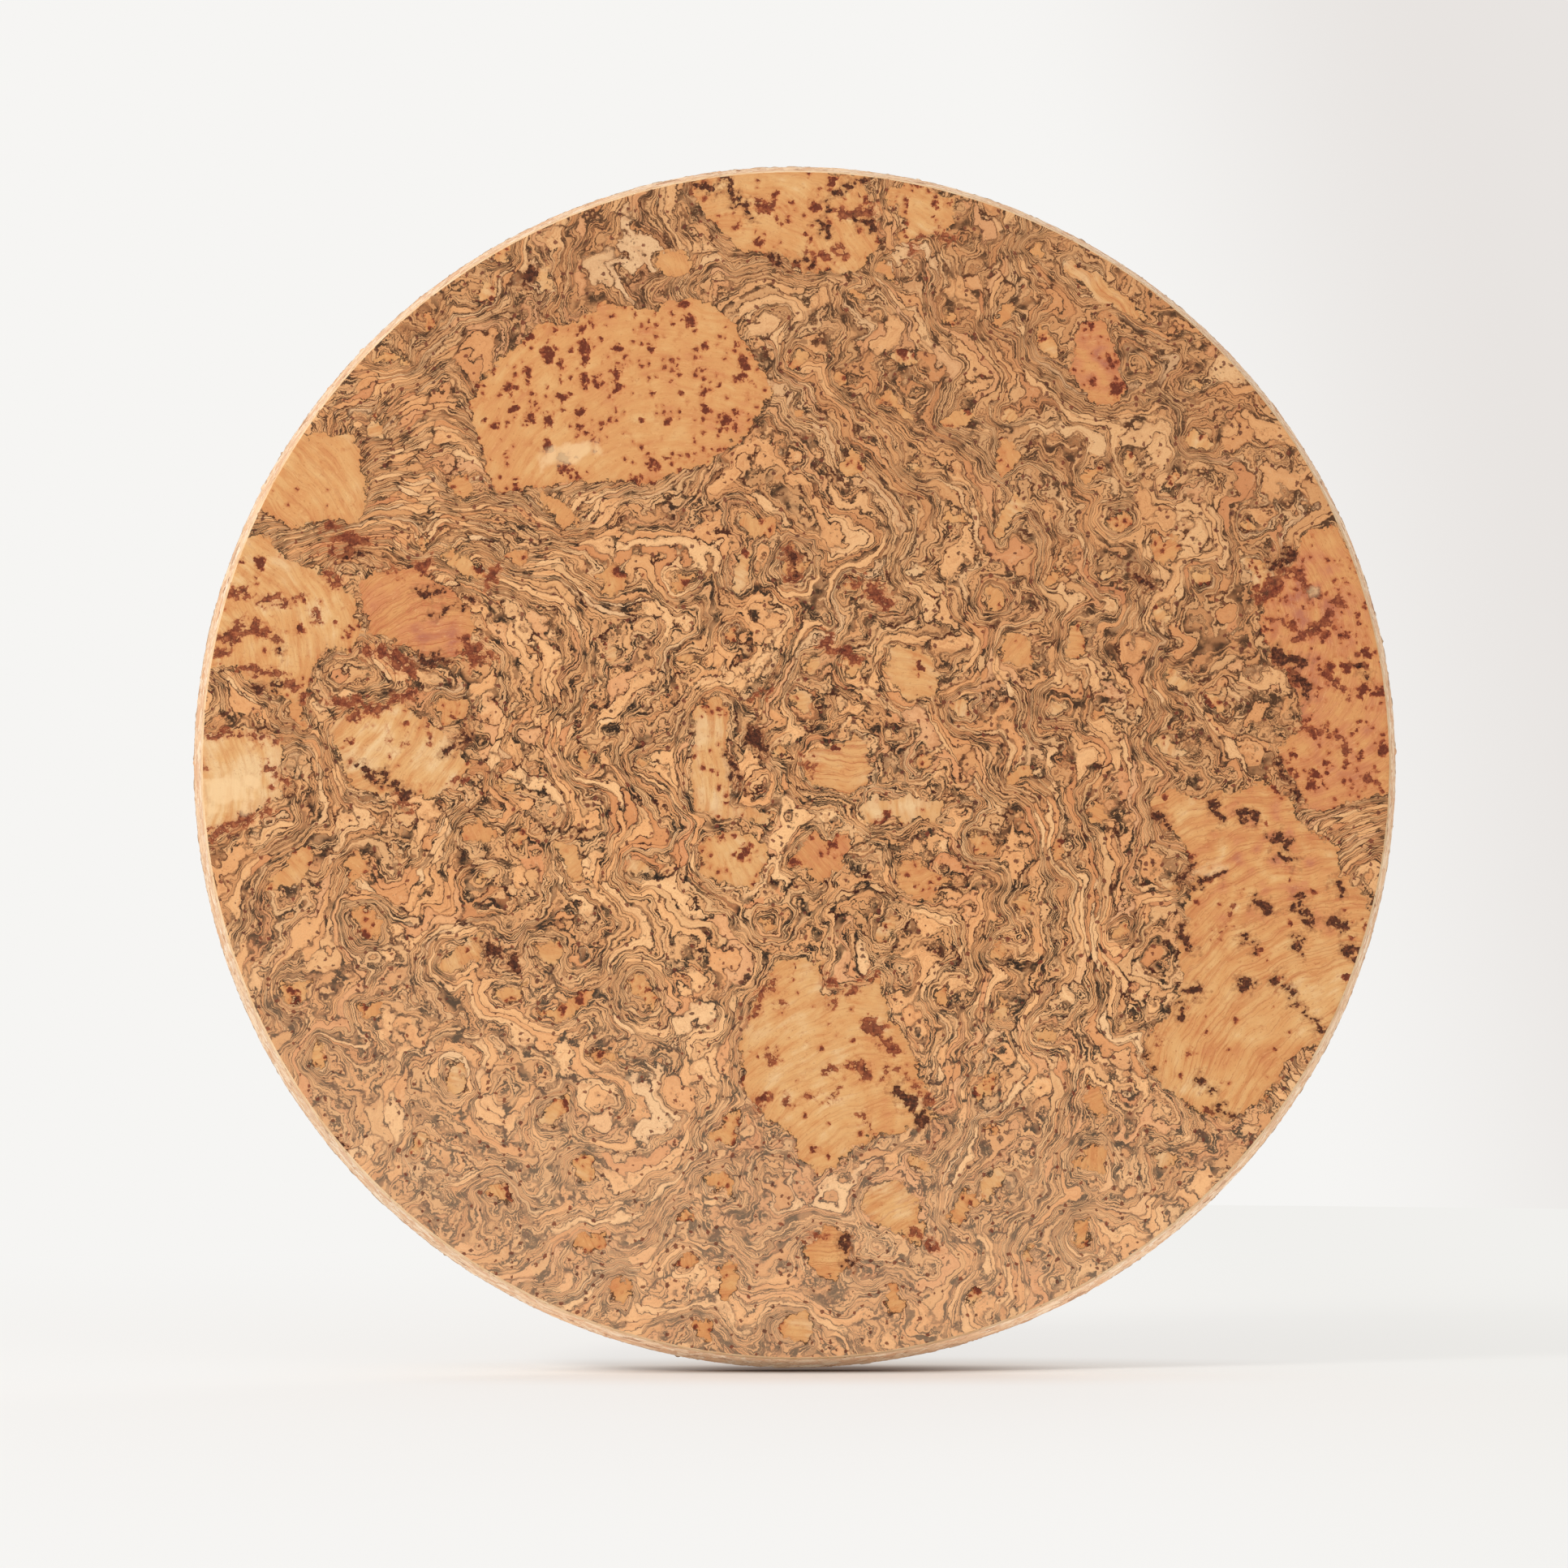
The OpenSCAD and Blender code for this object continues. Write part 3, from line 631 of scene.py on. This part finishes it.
    # pores, in clusters
    cl, _ = b.noise(P, 1 / 13.0, 1.0, 0.5)
    crowd = pores * b.step(cl, 0.36, 0.60, 0.25, 1.25)
    pv = b.vec(x + (b1 - 0.5) * 6.0 + (d1 - 0.5) * 4.0, z + (b2 - 0.5) * 6.0 + (d2 - 0.5) * 4.0, 0.0)
    v1 = b.voronoi(pv, 1 / 6.6, dims="2D")
    r1, r2, r3 = b.sep(v1["Color"])
    size1 = b.step(r1, 1.0 - crowd, 1.0, -0.3, 2.5, smooth=False)
    pore1 = size1 - v1["Distance"] * 6.6 + (e1 - 0.5) * 6.0 + (k1 - 0.5) * 1.2
    pore1 = b.mixf(b.step(r1, 0.99 - crowd, 1.0 - crowd), -3.0, pore1)
    v2 = b.voronoi(b.vec(x + (d1 - 0.5) * 2.8 + (k1 - 0.5), z + (d2 - 0.5) * 2.8 + (k2 - 0.5), 0.0), 1 / 2.9, dims="2D")
    q1, q2, q3 = b.sep(v2["Color"])
    crowd2 = crowd * 0.55
    size2 = b.step(q1, 1.0 - crowd2, 1.0, 0.0, 1.1, smooth=False)
    pore2 = size2 - v2["Distance"] * 2.9 + (e1 - 0.5) * 1.6
    pore2 = b.mixf(b.step(q1, 0.99 - crowd2, 1.0 - crowd2), -3.0, pore2)
    pore = b.max(pore1, pore2)
    halo = b.step(pore, -1.3, 0.1, 0.0, 0.50)
    bark = b.mix(halo, bark, srgb(190, 106, 62))
    pin = b.step(pore, -0.12, 0.22)
    poreink = b.mix(b.step(pore + (k2 - 0.5) * 2.6, 0.0, 1.0), srgb(156, 80, 52), srgb(104, 46, 34))
    poreink = b.mix(b.step(k3, 0.56, 0.70), poreink, srgb(74, 32, 26))
    bark = b.mix(pin * b.step(k1, 0.30, 0.42, 0.62, 0.95), bark, poreink)
    # rim of the piece: a thin dark skin
    skin = b.step(b.abs(sd - 0.1), 0.12, 0.50, 1.0, 0.0) * b.step(w1, 0.36, 0.60, 0.10, 0.85)
    col = b.mix(inside, ground, bark)
    col = b.mix(skin, col, ink)

    # --- marks
    rag = (e1 - 0.5) * 9.0 + (n3 - 0.5) * 6.5
    mr = b.step(m_red + rag, 0.15, 0.55)
    redcol = b.ramp(b.noise(P, 1 / 2.2, 3.0, 0.7)[0], [
        (0.36, srgb(72, 32, 26)), (0.47, srgb(112, 52, 38)), (0.56, srgb(140, 72, 48)), (0.66, srgb(176, 104, 66)),
    ])
    col = b.mix(b.step(m_red + rag, -1.6, 0.0, 0.0, 0.40), col, srgb(186, 104, 64))
    col = b.mix(mr * 0.92, col, redcol)
    mc = b.step(m_cream + rag * 0.35, -2.0, 1.8)
    col = b.mix(mc * 0.66, col, srgb(246, 208, 158))
    md = b.step(m_dark + rag * 0.8, -0.2, 0.35)
    col = b.mix(b.step(m_dark + rag * 1.2, -2.6, 0.2, 0.0, 0.55), col, srgb(158, 98, 62))
    col = b.mix(md * 0.95, col, b.ramp(b.noise(P, 1 / 1.5, 3.0, 0.7)[0], [
        (0.36, srgb(46, 26, 22)), (0.48, srgb(74, 38, 28)), (0.58, srgb(104, 56, 38)), (0.68, srgb(150, 92, 58)),
    ]))

    # --- relief in mm: pores and cracks are hollow, layers stand a little proud of their seams
    pit = b.max(pin * inside * 0.45, b.max(mr * 0.30, md * 0.60))
    pit = b.max(pit, skin * 0.16)
    deep = b.max(line * 0.12, smut * 0.35) * (1.0 - inside)
    relief = -(b.max(pit, deep)) + (n2 - 0.5) * 0.10
    fine = (1.0 - line * 0.9 * (1.0 - inside)) * 0.5 + gn * 0.25 - pin * inside * 0.8 - gln * 0.12 - mr * 0.5 - md * 0.8 - skin * 0.4
    rough = b.clamp(0.72 + (gn - 0.5) * 0.2 + b.max(pin * inside, mr) * 0.12 - inside * 0.06)
    return col, fine, relief, rough


# ------------------------------------------------------------ meshes
def disc_grid(n, r):
    """Points of an even square grid bent onto a disc, row by row, (n+1) squared."""
    a = np.linspace(-1, 1, n + 1)
    gx, gy = np.meshgrid(a, a)
    m = np.where(np.abs(gx) > np.abs(gy), gx, gy)
    with np.errstate(divide="ignore", invalid="ignore"):
        th = np.where(
            np.abs(gx) > np.abs(gy), (math.pi / 4) * (gy / gx),
            (math.pi / 2) - (math.pi / 4) * (gx / gy),
        )
    th = np.where(m == 0, 0.0, th)
    return r * m * np.cos(th), r * m * np.sin(th)


def make_mesh(name, co, faces):
    me = bpy.data.meshes.new(name)
    me.from_pydata([tuple(c) for c in co], [], faces)
    me.validate()
    me.update()
    return me


def outward(me):
    bm = bmesh.new()
    bm.from_mesh(me)
    bmesh.ops.recalc_face_normals(bm, faces=bm.faces)
    bm.to_mesh(me)
    bm.free()


def build_face():
    """The decorative sheet: a dense front, an eased edge and a slanted side."""
    n = 294
    r_top = R_FACE - 0.35
    gx, gz = disc_grid(n, r_top)
    idx = np.arange((n + 1) ** 2).reshape(n + 1, n + 1)
    co = np.stack([gx.ravel(), np.full(gx.size, FACE_Y), gz.ravel()], -1)
    q = np.stack([idx[:-1, :-1], idx[:-1, 1:], idx[1:, 1:], idx[1:, :-1]], -1).reshape(-1, 4)
    faces = q.tolist()
    rim = np.concatenate([idx[0, :-1], idx[:-1, -1], idx[-1, :0:-1], idx[:0:-1, 0]])
    ang = np.arctan2(co[rim, 2], co[rim, 0])
    k = len(rim)
    rows = [(R_FACE - 0.10, FACE_Y + 0.10), (R_FACE + 0.06, FACE_Y + 0.36)]
    for t in (0.30, 0.5, 0.7, 0.88, 1.0):
        rows.append((R_FACE + (R_GLUE - R_FACE) * t, FACE_Y + (GLUE_Y - FACE_Y) * t))
    prev = rim
    side_from = len(co)
    for r, y in rows:
        ring = np.arange(len(co), len(co) + k)
        co = np.vstack([co, np.stack([r * np.cos(ang), np.full(k, y), r * np.sin(ang)], -1)])
        faces += [[prev[i], prev[(i + 1) % k], ring[(i + 1) % k], ring[i]] for i in range(k)]
        prev = ring
    side_to = len(co)
    # flat back, against the core
    ring = np.arange(len(co), len(co) + k)
    co = np.vstack([co, np.stack([200 * np.cos(ang), np.full(k, GLUE_Y), 200 * np.sin(ang)], -1)])
    faces += [[prev[i], prev[(i + 1) % k], ring[(i + 1) % k], ring[i]] for i in range(k)]
    co = np.vstack([co, [[0, GLUE_Y, 0]]])
    c = len(co) - 1
    faces += [[ring[i], ring[(i + 1) % k], c] for i in range(k)]
    me = make_mesh("decorative_face_mesh", co * MM, faces)
    outward(me)
    f = face_fields(co[:, 0], co[:, 2])
    for key in ("slab", "flow", "sprop", "grow", "taper", "marks"):
        set_attr(me, key, f[key])
    # 1 on the pinning face, 0 on the side and the back
    front = np.zeros(len(co))
    front[:side_from] = 1.0
    side = np.zeros(len(co))
    side[side_from + k: side_to] = 1.0
    set_attr(me, "front", front)
    set_attr(me, "side", side)
    return bpy.data.objects.new("decorative_cork_face", me)


def link(ob):
    bpy.context.scene.collection.objects.link(ob)
    return ob


def relief(ob, fields, amount=1.0, mask="front", along="normal"):
    """Moves the points of ob by a procedural height in mm, as real geometry."""
    gt = bpy.data.node_groups.new("relief_" + ob.name, "GeometryNodeTree")
    gt.interface.new_socket("Geometry", in_out="INPUT", socket_type="NodeSocketGeometry")
    gt.interface.new_socket("Geometry", in_out="OUTPUT", socket_type="NodeSocketGeometry")
    b = NB(gt, geo=True)
    gi, go = b.new("NodeGroupInput"), b.new("NodeGroupOutput")
    h = fields(b)
    m = b.attr(mask)
    nrm = S(b, b.new("GeometryNodeInputNormal").outputs[0])
    off = b.vmath("SCALE", nrm, scale=h * m * (MM * amount))
    sp = b.new("GeometryNodeSetPosition")
    gt.links.new(gi.outputs[0], sp.inputs["Geometry"])
    gt.links.new(off.sock, sp.inputs["Offset"])
    gt.links.new(sp.outputs[0], go.inputs[0])
    mod = ob.modifiers.new("relief", "NODES")
    mod.node_group = gt
    bpy.context.view_layer.update()
    dg = bpy.context.evaluated_depsgraph_get()
    me = bpy.data.meshes.new_from_object(ob.evaluated_get(dg), preserve_all_data_layers=True, depsgraph=dg)
    ob.modifiers.clear()
    ob.data = me
    return ob


def face_material():
    m, b, p = material("face_cork")
    col, fine, rel, rough = cork_face(b)
    # side of the sheet: pale cut cork, smooth, with faint layers
    x, y, z = b.pos()
    P3 = b.vec(x, y, z)
    front = b.attr("front")
    n1, _ = b.noise(P3, 1 / 9.0, 3.0, 0.6)
    n2, _ = b.noise(b.vec(x, y * 5.0, z), 1 / 2.6, 3.0, 0.6)
    n3, _ = b.noise(P3, 1 / 0.9, 2.0, 0.6)
    edge = b.ramp(b.clamp(n1 * 0.5 + n2 * 0.5), [(0.30, srgb(214, 160, 110)), (0.45, srgb(236, 196, 150)), (0.62, srgb(247, 217, 178))])
    vo = b.voronoi(P3, 1 / 1.6)
    vr, _, _ = b.sep(vo["Color"])
    edge = b.mix(b.step(vr, 0.90, 0.94, 0.0, 0.7) * b.step(vo["Distance"], 0.2, 0.5, 1.0, 0.0), edge, srgb(150, 84, 54))
    f = b.step(front, 0.15, 0.85)
    col = b.mix(f, edge, col)
    fine = b.mixf(f, n3 * 0.6 + n2 * 0.4, fine)
    rough = b.mixf(f, 0.8, rough)
    finish_principled(b, p, col, rough, fine, dist=0.00018, strength=0.55, spec=0.14)
    return m


# ------------------------------------------------------------ pressed cork core
def build_core():
    """The disc of pressed granules: dense slanted side and back ring, plain where other pieces cover it."""
    k = 1760
    ang = np.arange(k) * 2 * np.pi / k
    rows = [(150.0, GLUE_Y, 0), (R_GLUE - 0.5, GLUE_Y, 0)]
    for t in np.linspace(0, 1, 20):
        rows.append((R_GLUE + (R_BACK - R_GLUE) * t, GLUE_Y * (1 - t), 1))
    rows[-1] = (R_BACK - 0.05, -0.42, 1)
    rows.append((R_BACK - 0.42, -0.03, 1))
    for r in np.linspace(R_BACK - 1.3, R_RECESS + 1.2, 25):
        rows.append((r, 0.0, 1))
    rows.append((R_RECESS + 0.4, -0.02, 0))
    rows.append((R_RECESS, -0.35, 0))
    rows.append((R_RECESS, RECESS_Y, 0))
    rows.append((120.0, RECESS_Y, 0))
    co, mask = [], []
    for r, y, mk in rows:
        co.append(np.stack([r * np.cos(ang), np.full(k, y), r * np.sin(ang)], -1))
        mask.append(np.full(k, float(mk)))
    co = np.vstack(co + [[[0, GLUE_Y, 0], [0, RECESS_Y, 0]]])
    mask = np.concatenate(mask + [[0.0, 0.0]])
    faces = []
    i = np.arange(k)
    j = (i + 1) % k
    for a in range(len(rows) - 1):
        faces += np.stack([a * k + i, a * k + j, (a + 1) * k + j, (a + 1) * k + i], -1).tolist()
    n = len(rows) * k
    last = (len(rows) - 1) * k
    faces += [[int(j[q]), int(i[q]), n] for q in range(k)]
    faces += [[last + int(i[q]), last + int(j[q]), n + 1] for q in range(k)]
    me = make_mesh("cork_core_mesh", co * MM, faces)
    outward(me)
    set_attr(me, "rough_zone", mask)
    return bpy.data.objects.new("pressed_cork_core", me)


def granules(b):
    """Pressed granules: flattened along the rim, round on the back. Returns their fields."""
    x, y, z = b.pos()
    r = b.math("SQRT", x * x + z * z)
    back = b.step(y, -0.9, -0.2)
    # on the side, squeeze the turn so that granules lie along the rim
    s = b.mixf(back, 0.46, 0.80)
    nx, nc = b.noise(b.vec(x, y, z), 1 / 1.3, 2.0, 0.6)
    j1, j2, j3 = b.sep(nc)
    rr = b.mixf(back, R_BACK, r)
    q = b.vec(x / r * rr * s + (j1 - 0.5) * 0.9, y * 1.05 + (j2 - 0.5) * 0.9, z / r * rr * s + (j3 - 0.5) * 0.9)
    v = b.voronoi(q, 1 / 1.25)
    e = b.voronoi(q, 1 / 1.25, "DISTANCE_TO_EDGE")["Distance"]
    c1, c2, c3 = b.sep(v["Color"])
    big = b.voronoi(q, 1 / 3.1)
    g1, g2, g3 = b.sep(big["Color"])
    eb = b.voronoi(q, 1 / 3.1, "DISTANCE_TO_EDGE")["Distance"]
    use = b.step(g1, 0.60, 0.64)
    edge = b.mixf(use, e * 1.25, eb * 3.1)
    h1, h2, h3 = b.mixf(use, c1, g2), b.mixf(use, c2, g3), b.mixf(use, c3, g1)
    dome = b.step(edge, 0.0, 0.42)
    lone = b.step(c3, 0.93, 0.99) * (1.0 - use)
    height = dome * (h1 * 0.30 + 0.04) + lone * dome * 0.45 + (nx - 0.5) * 0.10 - 0.24
    return P3(b, x, y, z), edge, dome, h1, h2, h3, height, back, j1


def P3(b, x, y, z):
    return b.vec(x, y, z)


def core_height(b):
    return granules(b)[6]


def core_material():
    m, b, p = material("core_cork")
    P, edge, dome, h1, h2, h3, height, back, j1 = granules(b)
    n1, _ = b.noise(P, 1 / 11.0, 3.0, 0.6)
    n2, _ = b.noise(P, 1 / 0.7, 3.0, 0.65)
    n3, nc = b.noise(P, 1 / 3.0, 2.0, 0.6)
    col = b.ramp(h2, [
        (0.0, srgb(235, 191, 150)), (0.3, srgb(246, 210, 172)), (0.6, srgb(250, 222, 190)),
        (0.85, srgb(252, 230, 202)), (1.0, srgb(253, 236, 213)),
    ])
    col = b.mix(b.step(h3, 0.86, 0.90, 0.0, 0.75), col, srgb(218, 158, 116))
    col = b.mix(b.step(h1, 0.965, 0.975, 0.0, 0.80), col, srgb(140, 84, 58))
    col = b.mix(b.step(n2, 0.34, 0.68, 0.0, 0.40), col, srgb(239, 201, 164))
    col = b.mix(b.step(n1, 0.38, 0.68, 0.0, 0.30), col, srgb(241, 206, 169))
    seam = b.step(edge, 0.05, 0.28, 0.60, 0.0) * b.step(n3, 0.36, 0.60, 0.35, 1.0)
    col = b.mix(seam * 0.85, col, srgb(202, 148, 112))
    # the back is a little dustier
    col = b.mix(back * 0.30, col, srgb(216, 172, 130))
    fine = dome * 0.7 + n2 * 0.5
    rough = b.clamp(0.82 + (n2 - 0.5) * 0.2)
    finish_principled(b, p, col, rough, fine, dist=0.00022, strength=0.6, spec=0.2)
    return m


# ------------------------------------------------------------ back and hardware
def board_material():
    """Hardboard: fine felted fibres, darker flecks, rubbed towards its edge."""
    m, b, p = material("fibreboard")
    x, y, z = b.pos()
    P = b.vec(x, y, z)
    w, wc = b.noise(P, 1 / 9.0, 2.0, 0.5)
    w1, w2, w3 = b.sep(wc)
    f1, _ = b.noise(b.vec(x * 0.35 + w1 * 6.0, y, z * 2.4 + w2 * 6.0), 1.0, 3.0, 0.65)
    f2, _ = b.noise(b.vec(x * 2.4 + w2 * 6.0, y, z * 0.35 + w3 * 6.0), 1.0, 3.0, 0.65)
    n1, _ = b.noise(P, 1 / 45.0, 3.0, 0.55)
    n2, _ = b.noise(P, 1 / 0.6, 2.0, 0.6)
    fib = b.max(b.step(f1, 0.52, 0.64), b.step(f2, 0.54, 0.66))
    col = b.mix(b.step(n1, 0.35, 0.65), srgb(157, 118, 83), srgb(165, 125, 89))
    col = b.mix(fib * 0.55, col, srgb(192, 152, 112))
    v = b.voronoi(b.vec(x * 0.55 + w1 * 3.0, y, z + w2 * 3.0), 1 / 2.4)
    c1, c2, c3 = b.sep(v["Color"])
    fleck = b.step(c1, 0.86, 0.88) * b.step(v["Distance"], 0.10, 0.34, 1.0, 0.0)
    col = b.mix(fleck * 0.85, col, srgb(98, 66, 44))
    col = b.mix(b.step(n2, 0.35, 0.7, 0.0, 0.35), col, srgb(132, 96, 66))
    r = b.math("SQRT", x * x + z * z)
    col = b.mix(b.step(r, 184.0, 189.6, 0.0, 0.35), col, srgb(196, 160, 120))
    # the cut edge and pockets are darker
    col = b.mix(b.step(y, -0.5, -0.2, 0.55, 0.0), col, srgb(112, 78, 52))
    # faint rub marks from handling
    sc, _ = b.noise(b.vec(x * 0.9 + z * 0.5, y, z * 0.03 - x * 0.02), 1.0, 3.0, 0.7)
    col = b.mix(b.step(sc, 0.62, 0.72, 0.0, 0.22), col, srgb(204, 170, 132))
    rough = b.clamp(0.60 + (n1 - 0.5) * 0.12 + n2 * 0.12 + fib * 0.06)
    finish_principled(b, p, col, rough, fib * 0.5 + n2 * 0.5 - fleck * 0.4, dist=0.0001, strength=0.45, spec=0.35)
    return m


def zinc_material(name, base, dark, scale):
    """Zinc-plated steel: blue-grey, faint spangle, rolled grain, rubbed bright at edges."""
    m, b, p = material(name)
    x, y, z = b.pos()
    P = b.vec(x, y, z)
    n1, _ = b.noise(P, 1 / 6.0, 3.0, 0.6)
    v = b.voronoi(P, 1 / scale)
    c1, _, _ = b.sep(v["Color"])
    g, _ = b.noise(b.vec(x * 7.0, y * 7.0, z * 0.25), 1.0, 2.0, 0.6)
    s, _ = b.noise(b.vec(x * 0.5 + z * 2.0, y, z * 0.4 - x * 2.6), 1.0, 2.0, 0.7)
    col = b.mix(b.step(n1, 0.35, 0.65), base, dark)
    col = b.mix(c1 * 0.22, col, srgb(228, 230, 232))
    col = b.mix(b.step(s, 0.66, 0.70, 0.0, 0.5), col, srgb(238, 238, 236))
    wear = b.new("ShaderNodeBevel", samples=4)
    wear.inputs["Radius"].default_value = 0.0004
    geo = b.new("ShaderNodeNewGeometry")
    dn = b.vmath("DOT_PRODUCT", S(b, wear.outputs[0]), S(b, geo.outputs["Normal"]))
    edge = b.step(dn, 0.80, 0.995, 1.0, 0.0)
    col = b.mix(edge * 0.6, col, srgb(236, 232, 222))
    rough = b.clamp(0.30 + (n1 - 0.5) * 0.25 + g * 0.12 + c1 * 0.06 - edge * 0.10)
    finish_principled(b, p, col, rough, g * 0.6 + c1 * 0.2, dist=0.00003, strength=0.5, metallic=1.0, spec=0.5)
    return m


def set_material(ob, m):
    ob.data.materials.clear()
    ob.data.materials.append(m)


# ==== scene ====
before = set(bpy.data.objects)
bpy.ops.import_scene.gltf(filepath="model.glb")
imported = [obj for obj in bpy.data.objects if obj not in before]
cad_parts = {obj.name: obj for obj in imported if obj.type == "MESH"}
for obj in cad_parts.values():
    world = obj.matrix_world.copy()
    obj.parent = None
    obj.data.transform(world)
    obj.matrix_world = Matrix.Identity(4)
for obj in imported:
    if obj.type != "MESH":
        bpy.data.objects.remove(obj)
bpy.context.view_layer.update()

face = link(build_face())
relief(face, lambda b: cork_face(b)[2], mask="front")
set_material(face, face_material())
for pl in face.data.polygons:
    pl.use_smooth = True
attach(face, "root")
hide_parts("decorative_face")

core = link(build_core())
relief(core, core_height, mask="rough_zone")
set_material(core, core_material())
for pl in core.data.polygons:
    pl.use_smooth = True
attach(core, "root")
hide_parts("cork_core")

set_material(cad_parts["backing_disc"], board_material())
plate = zinc_material("hanger_steel", srgb(196, 199, 203), srgb(166, 170, 176), 1.7)
for n in ("keyhole_hanger_left", "keyhole_hanger_right"):
    set_material(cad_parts[n], plate)
set_material(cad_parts["hanger_screws"], zinc_material("screw_steel", srgb(204, 198, 178), srgb(178, 170, 148), 1.1))

# ------------------------------------------------------------ floor, light, camera
BG = srgb(246, 245, 243)
BG_RIGHT_SHADED = srgb(241, 240, 237)


def floor():
    n = 96
    bm = bmesh.new()
    prev = None
    c = bm.verts.new((0, 0, -0.22555))
    for r in [0.15, 0.3, 0.5, 0.7, 0.9, 1.1, 1.3, 1.52]:
        ring = [bm.verts.new((r * math.cos(2 * math.pi * i / n), r * math.sin(2 * math.pi * i / n), -0.22555)) for i in range(n)]
        for i in range(n):
            j = (i + 1) % n
            if prev is None:
                bm.faces.new((c, ring[i], ring[j]))
            else:
                bm.faces.new((prev[i], ring[i], ring[j], prev[j]))
        prev = ring
    me = bpy.data.meshes.new("floor_mesh")
    bm.to_mesh(me)
    bm.free()
    ob = link(bpy.data.objects.new("studio_floor", me))
    m = bpy.data.materials.new("floor_paper")
    m.use_nodes = True
    t = m.node_tree
    t.nodes.clear()
    b = NB(t)
    x, y, z = b.pos()
    r = b.math("SQRT", x * x + y * y)
    n1, _ = b.noise(b.vec(x, y, 0.0), 1 / 90.0, 3.0, 0.5)
    d = b.new("ShaderNodeBsdfDiffuse")
    paper = b.mix(n1, (0.93, 0.925, 0.915, 1), (0.94, 0.935, 0.925, 1))
    # painted contact shadow: the paper's colour is darkened, tinted warm for light bounced off the cork, deepest where
    # the board stands on it
    contact_shadow_dist = b.math("SQRT", (x - 8.0) * (x - 8.0) / 16.0 + (y - 2.0) * (y - 2.0))
    b.put(b.mix(b.step(contact_shadow_dist, 4.0, 30.0, 0.82, 0.0), paper, (0.15, 0.09, 0.065, 1)), d.inputs[0])
    e = b.new("ShaderNodeEmission")
    # painted shade: the floor's glow turns a little darker towards the right
    b.put(b.mix(b.step(x, 40.0, 300.0), BG, BG_RIGHT_SHADED), e.inputs[0])
    mx = b.new("ShaderNodeMixShader")
    # glows like a lit table further out; shadows gather only close to the board
    near = b.math("SQRT", (x - 14.0) * (x - 14.0) / 9.0 + (y + 9.0) * (y + 9.0))
    b.put(b.max(b.step(near, 12.0, 85.0, 0.0, 0.70), b.step(r, 100.0, 900.0, 0.0, 1.0) * 0.30 + b.step(near, 12.0, 85.0, 0.0, 0.70)), mx.inputs[0])
    t.links.new(d.outputs[0], mx.inputs[1])
    t.links.new(e.outputs[0], mx.inputs[2])
    out = b.new("ShaderNodeOutputMaterial")
    t.links.new(mx.outputs[0], out.inputs[0])
    me.materials.append(m)


floor()

world = bpy.data.worlds.new("studio")
bpy.context.scene.world = world
world.use_nodes = True
wt = world.node_tree
wt.nodes.clear()
b = NB(wt)
lp = b.new("ShaderNodeLightPath")
tc = b.new("ShaderNodeTexCoord")
gx, gy, gz = b.sep(S(b, tc.outputs["Generated"]))
# the backdrop turns a little darker to the upper right of the front view
ahead = b.max(b.abs(gy), 0.05)
shade = b.step(gx / ahead + gz / ahead * 0.278, 0.119, 0.219) * b.step(gy, 0.0, 0.3)
seen = b.mix(shade, BG, srgb(232, 228, 225))
bg_cam = b.new("ShaderNodeBackground")
b.put(seen, bg_cam.inputs[0])
bg_light = b.new("ShaderNodeBackground")
# softer and dimmer from the right and behind, so that the left edge is the bright one
key_side = b.step(gx * -0.75 + gy * -0.45 + gz * 0.5, -0.9, 0.9, 0.50, 1.0)
b.put((1.0, 0.975, 0.95, 1.0), bg_light.inputs[0])
b.put(key_side * 0.74, bg_light.inputs[1])
mxs = b.new("ShaderNodeMixShader")
wt.links.new(lp.outputs["Is Camera Ray"], mxs.inputs[0])
wt.links.new(bg_light.outputs[0], mxs.inputs[1])
wt.links.new(bg_cam.outputs[0], mxs.inputs[2])
wo = b.new("ShaderNodeOutputWorld")
wt.links.new(mxs.outputs[0], wo.inputs[0])


def area(name, loc, target, size, energy, color=(1, 0.97, 0.93)):
    li = bpy.data.lights.new(name, "AREA")
    li.shape = "DISK"
    li.size = size
    li.energy = energy
    li.color = color
    ob = link(bpy.data.objects.new(name, li))
    ob.location = loc
    ob.rotation_mode = "QUATERNION"
    ob.rotation_quaternion = (Vector(target) - Vector(loc)).to_track_quat("-Z", "Y")
    ob.visible_camera = False
    return ob


area("key", (-1.9, -1.5, 1.5), (0, 0, 0), 0.7, 34)
area("fill", (1.6, -2.2, 0.9), (0, 0, 0), 1.6, 5)
# a reflector's worth of light on the rim alone, below and to the right
rim_only = bpy.data.collections.new("rim_only")
rim_only.objects.link(core)
for name, loc, target, size, energy in (
    ("low", (0.02, -0.16, -0.38), (0.01, 0, -0.225), 0.10, 0.17),
    ("side", (1.7, -1.1, -0.16), (0.2, 0, -0.02), 0.5, 5.0),
):
    glow = area(name, loc, target, size, energy, (1, 0.95, 0.90))
    glow.light_linking.receiver_collection = rim_only
    glow.light_linking.blocker_collection = rim_only
    # no second bounce, so that the floor doesn't glow
    glow.data.cycles.max_bounces = 0
area("back", (1.2, 2.2, 1.4), (0, 0, 0), 1.4, 14)

cam = bpy.data.cameras.new("camera")
cam.sensor_width = 36.0
cam.lens = 111.75
cam_ob = link(bpy.data.objects.new("camera", cam))
cam_ob.location = (-0.0478, -1.818, -0.0903)
aim = Vector((-0.00509, -0.018, -0.00836))
cam_ob.rotation_mode = "QUATERNION"
cam_ob.rotation_quaternion = (aim - cam_ob.location).to_track_quat("-Z", "Y")
cam.clip_start, cam.clip_end = 0.01, 100.0
bpy.context.scene.camera = cam_ob
bpy.context.scene.view_settings.view_transform = "Standard"
bpy.context.scene.view_settings.look = "None"
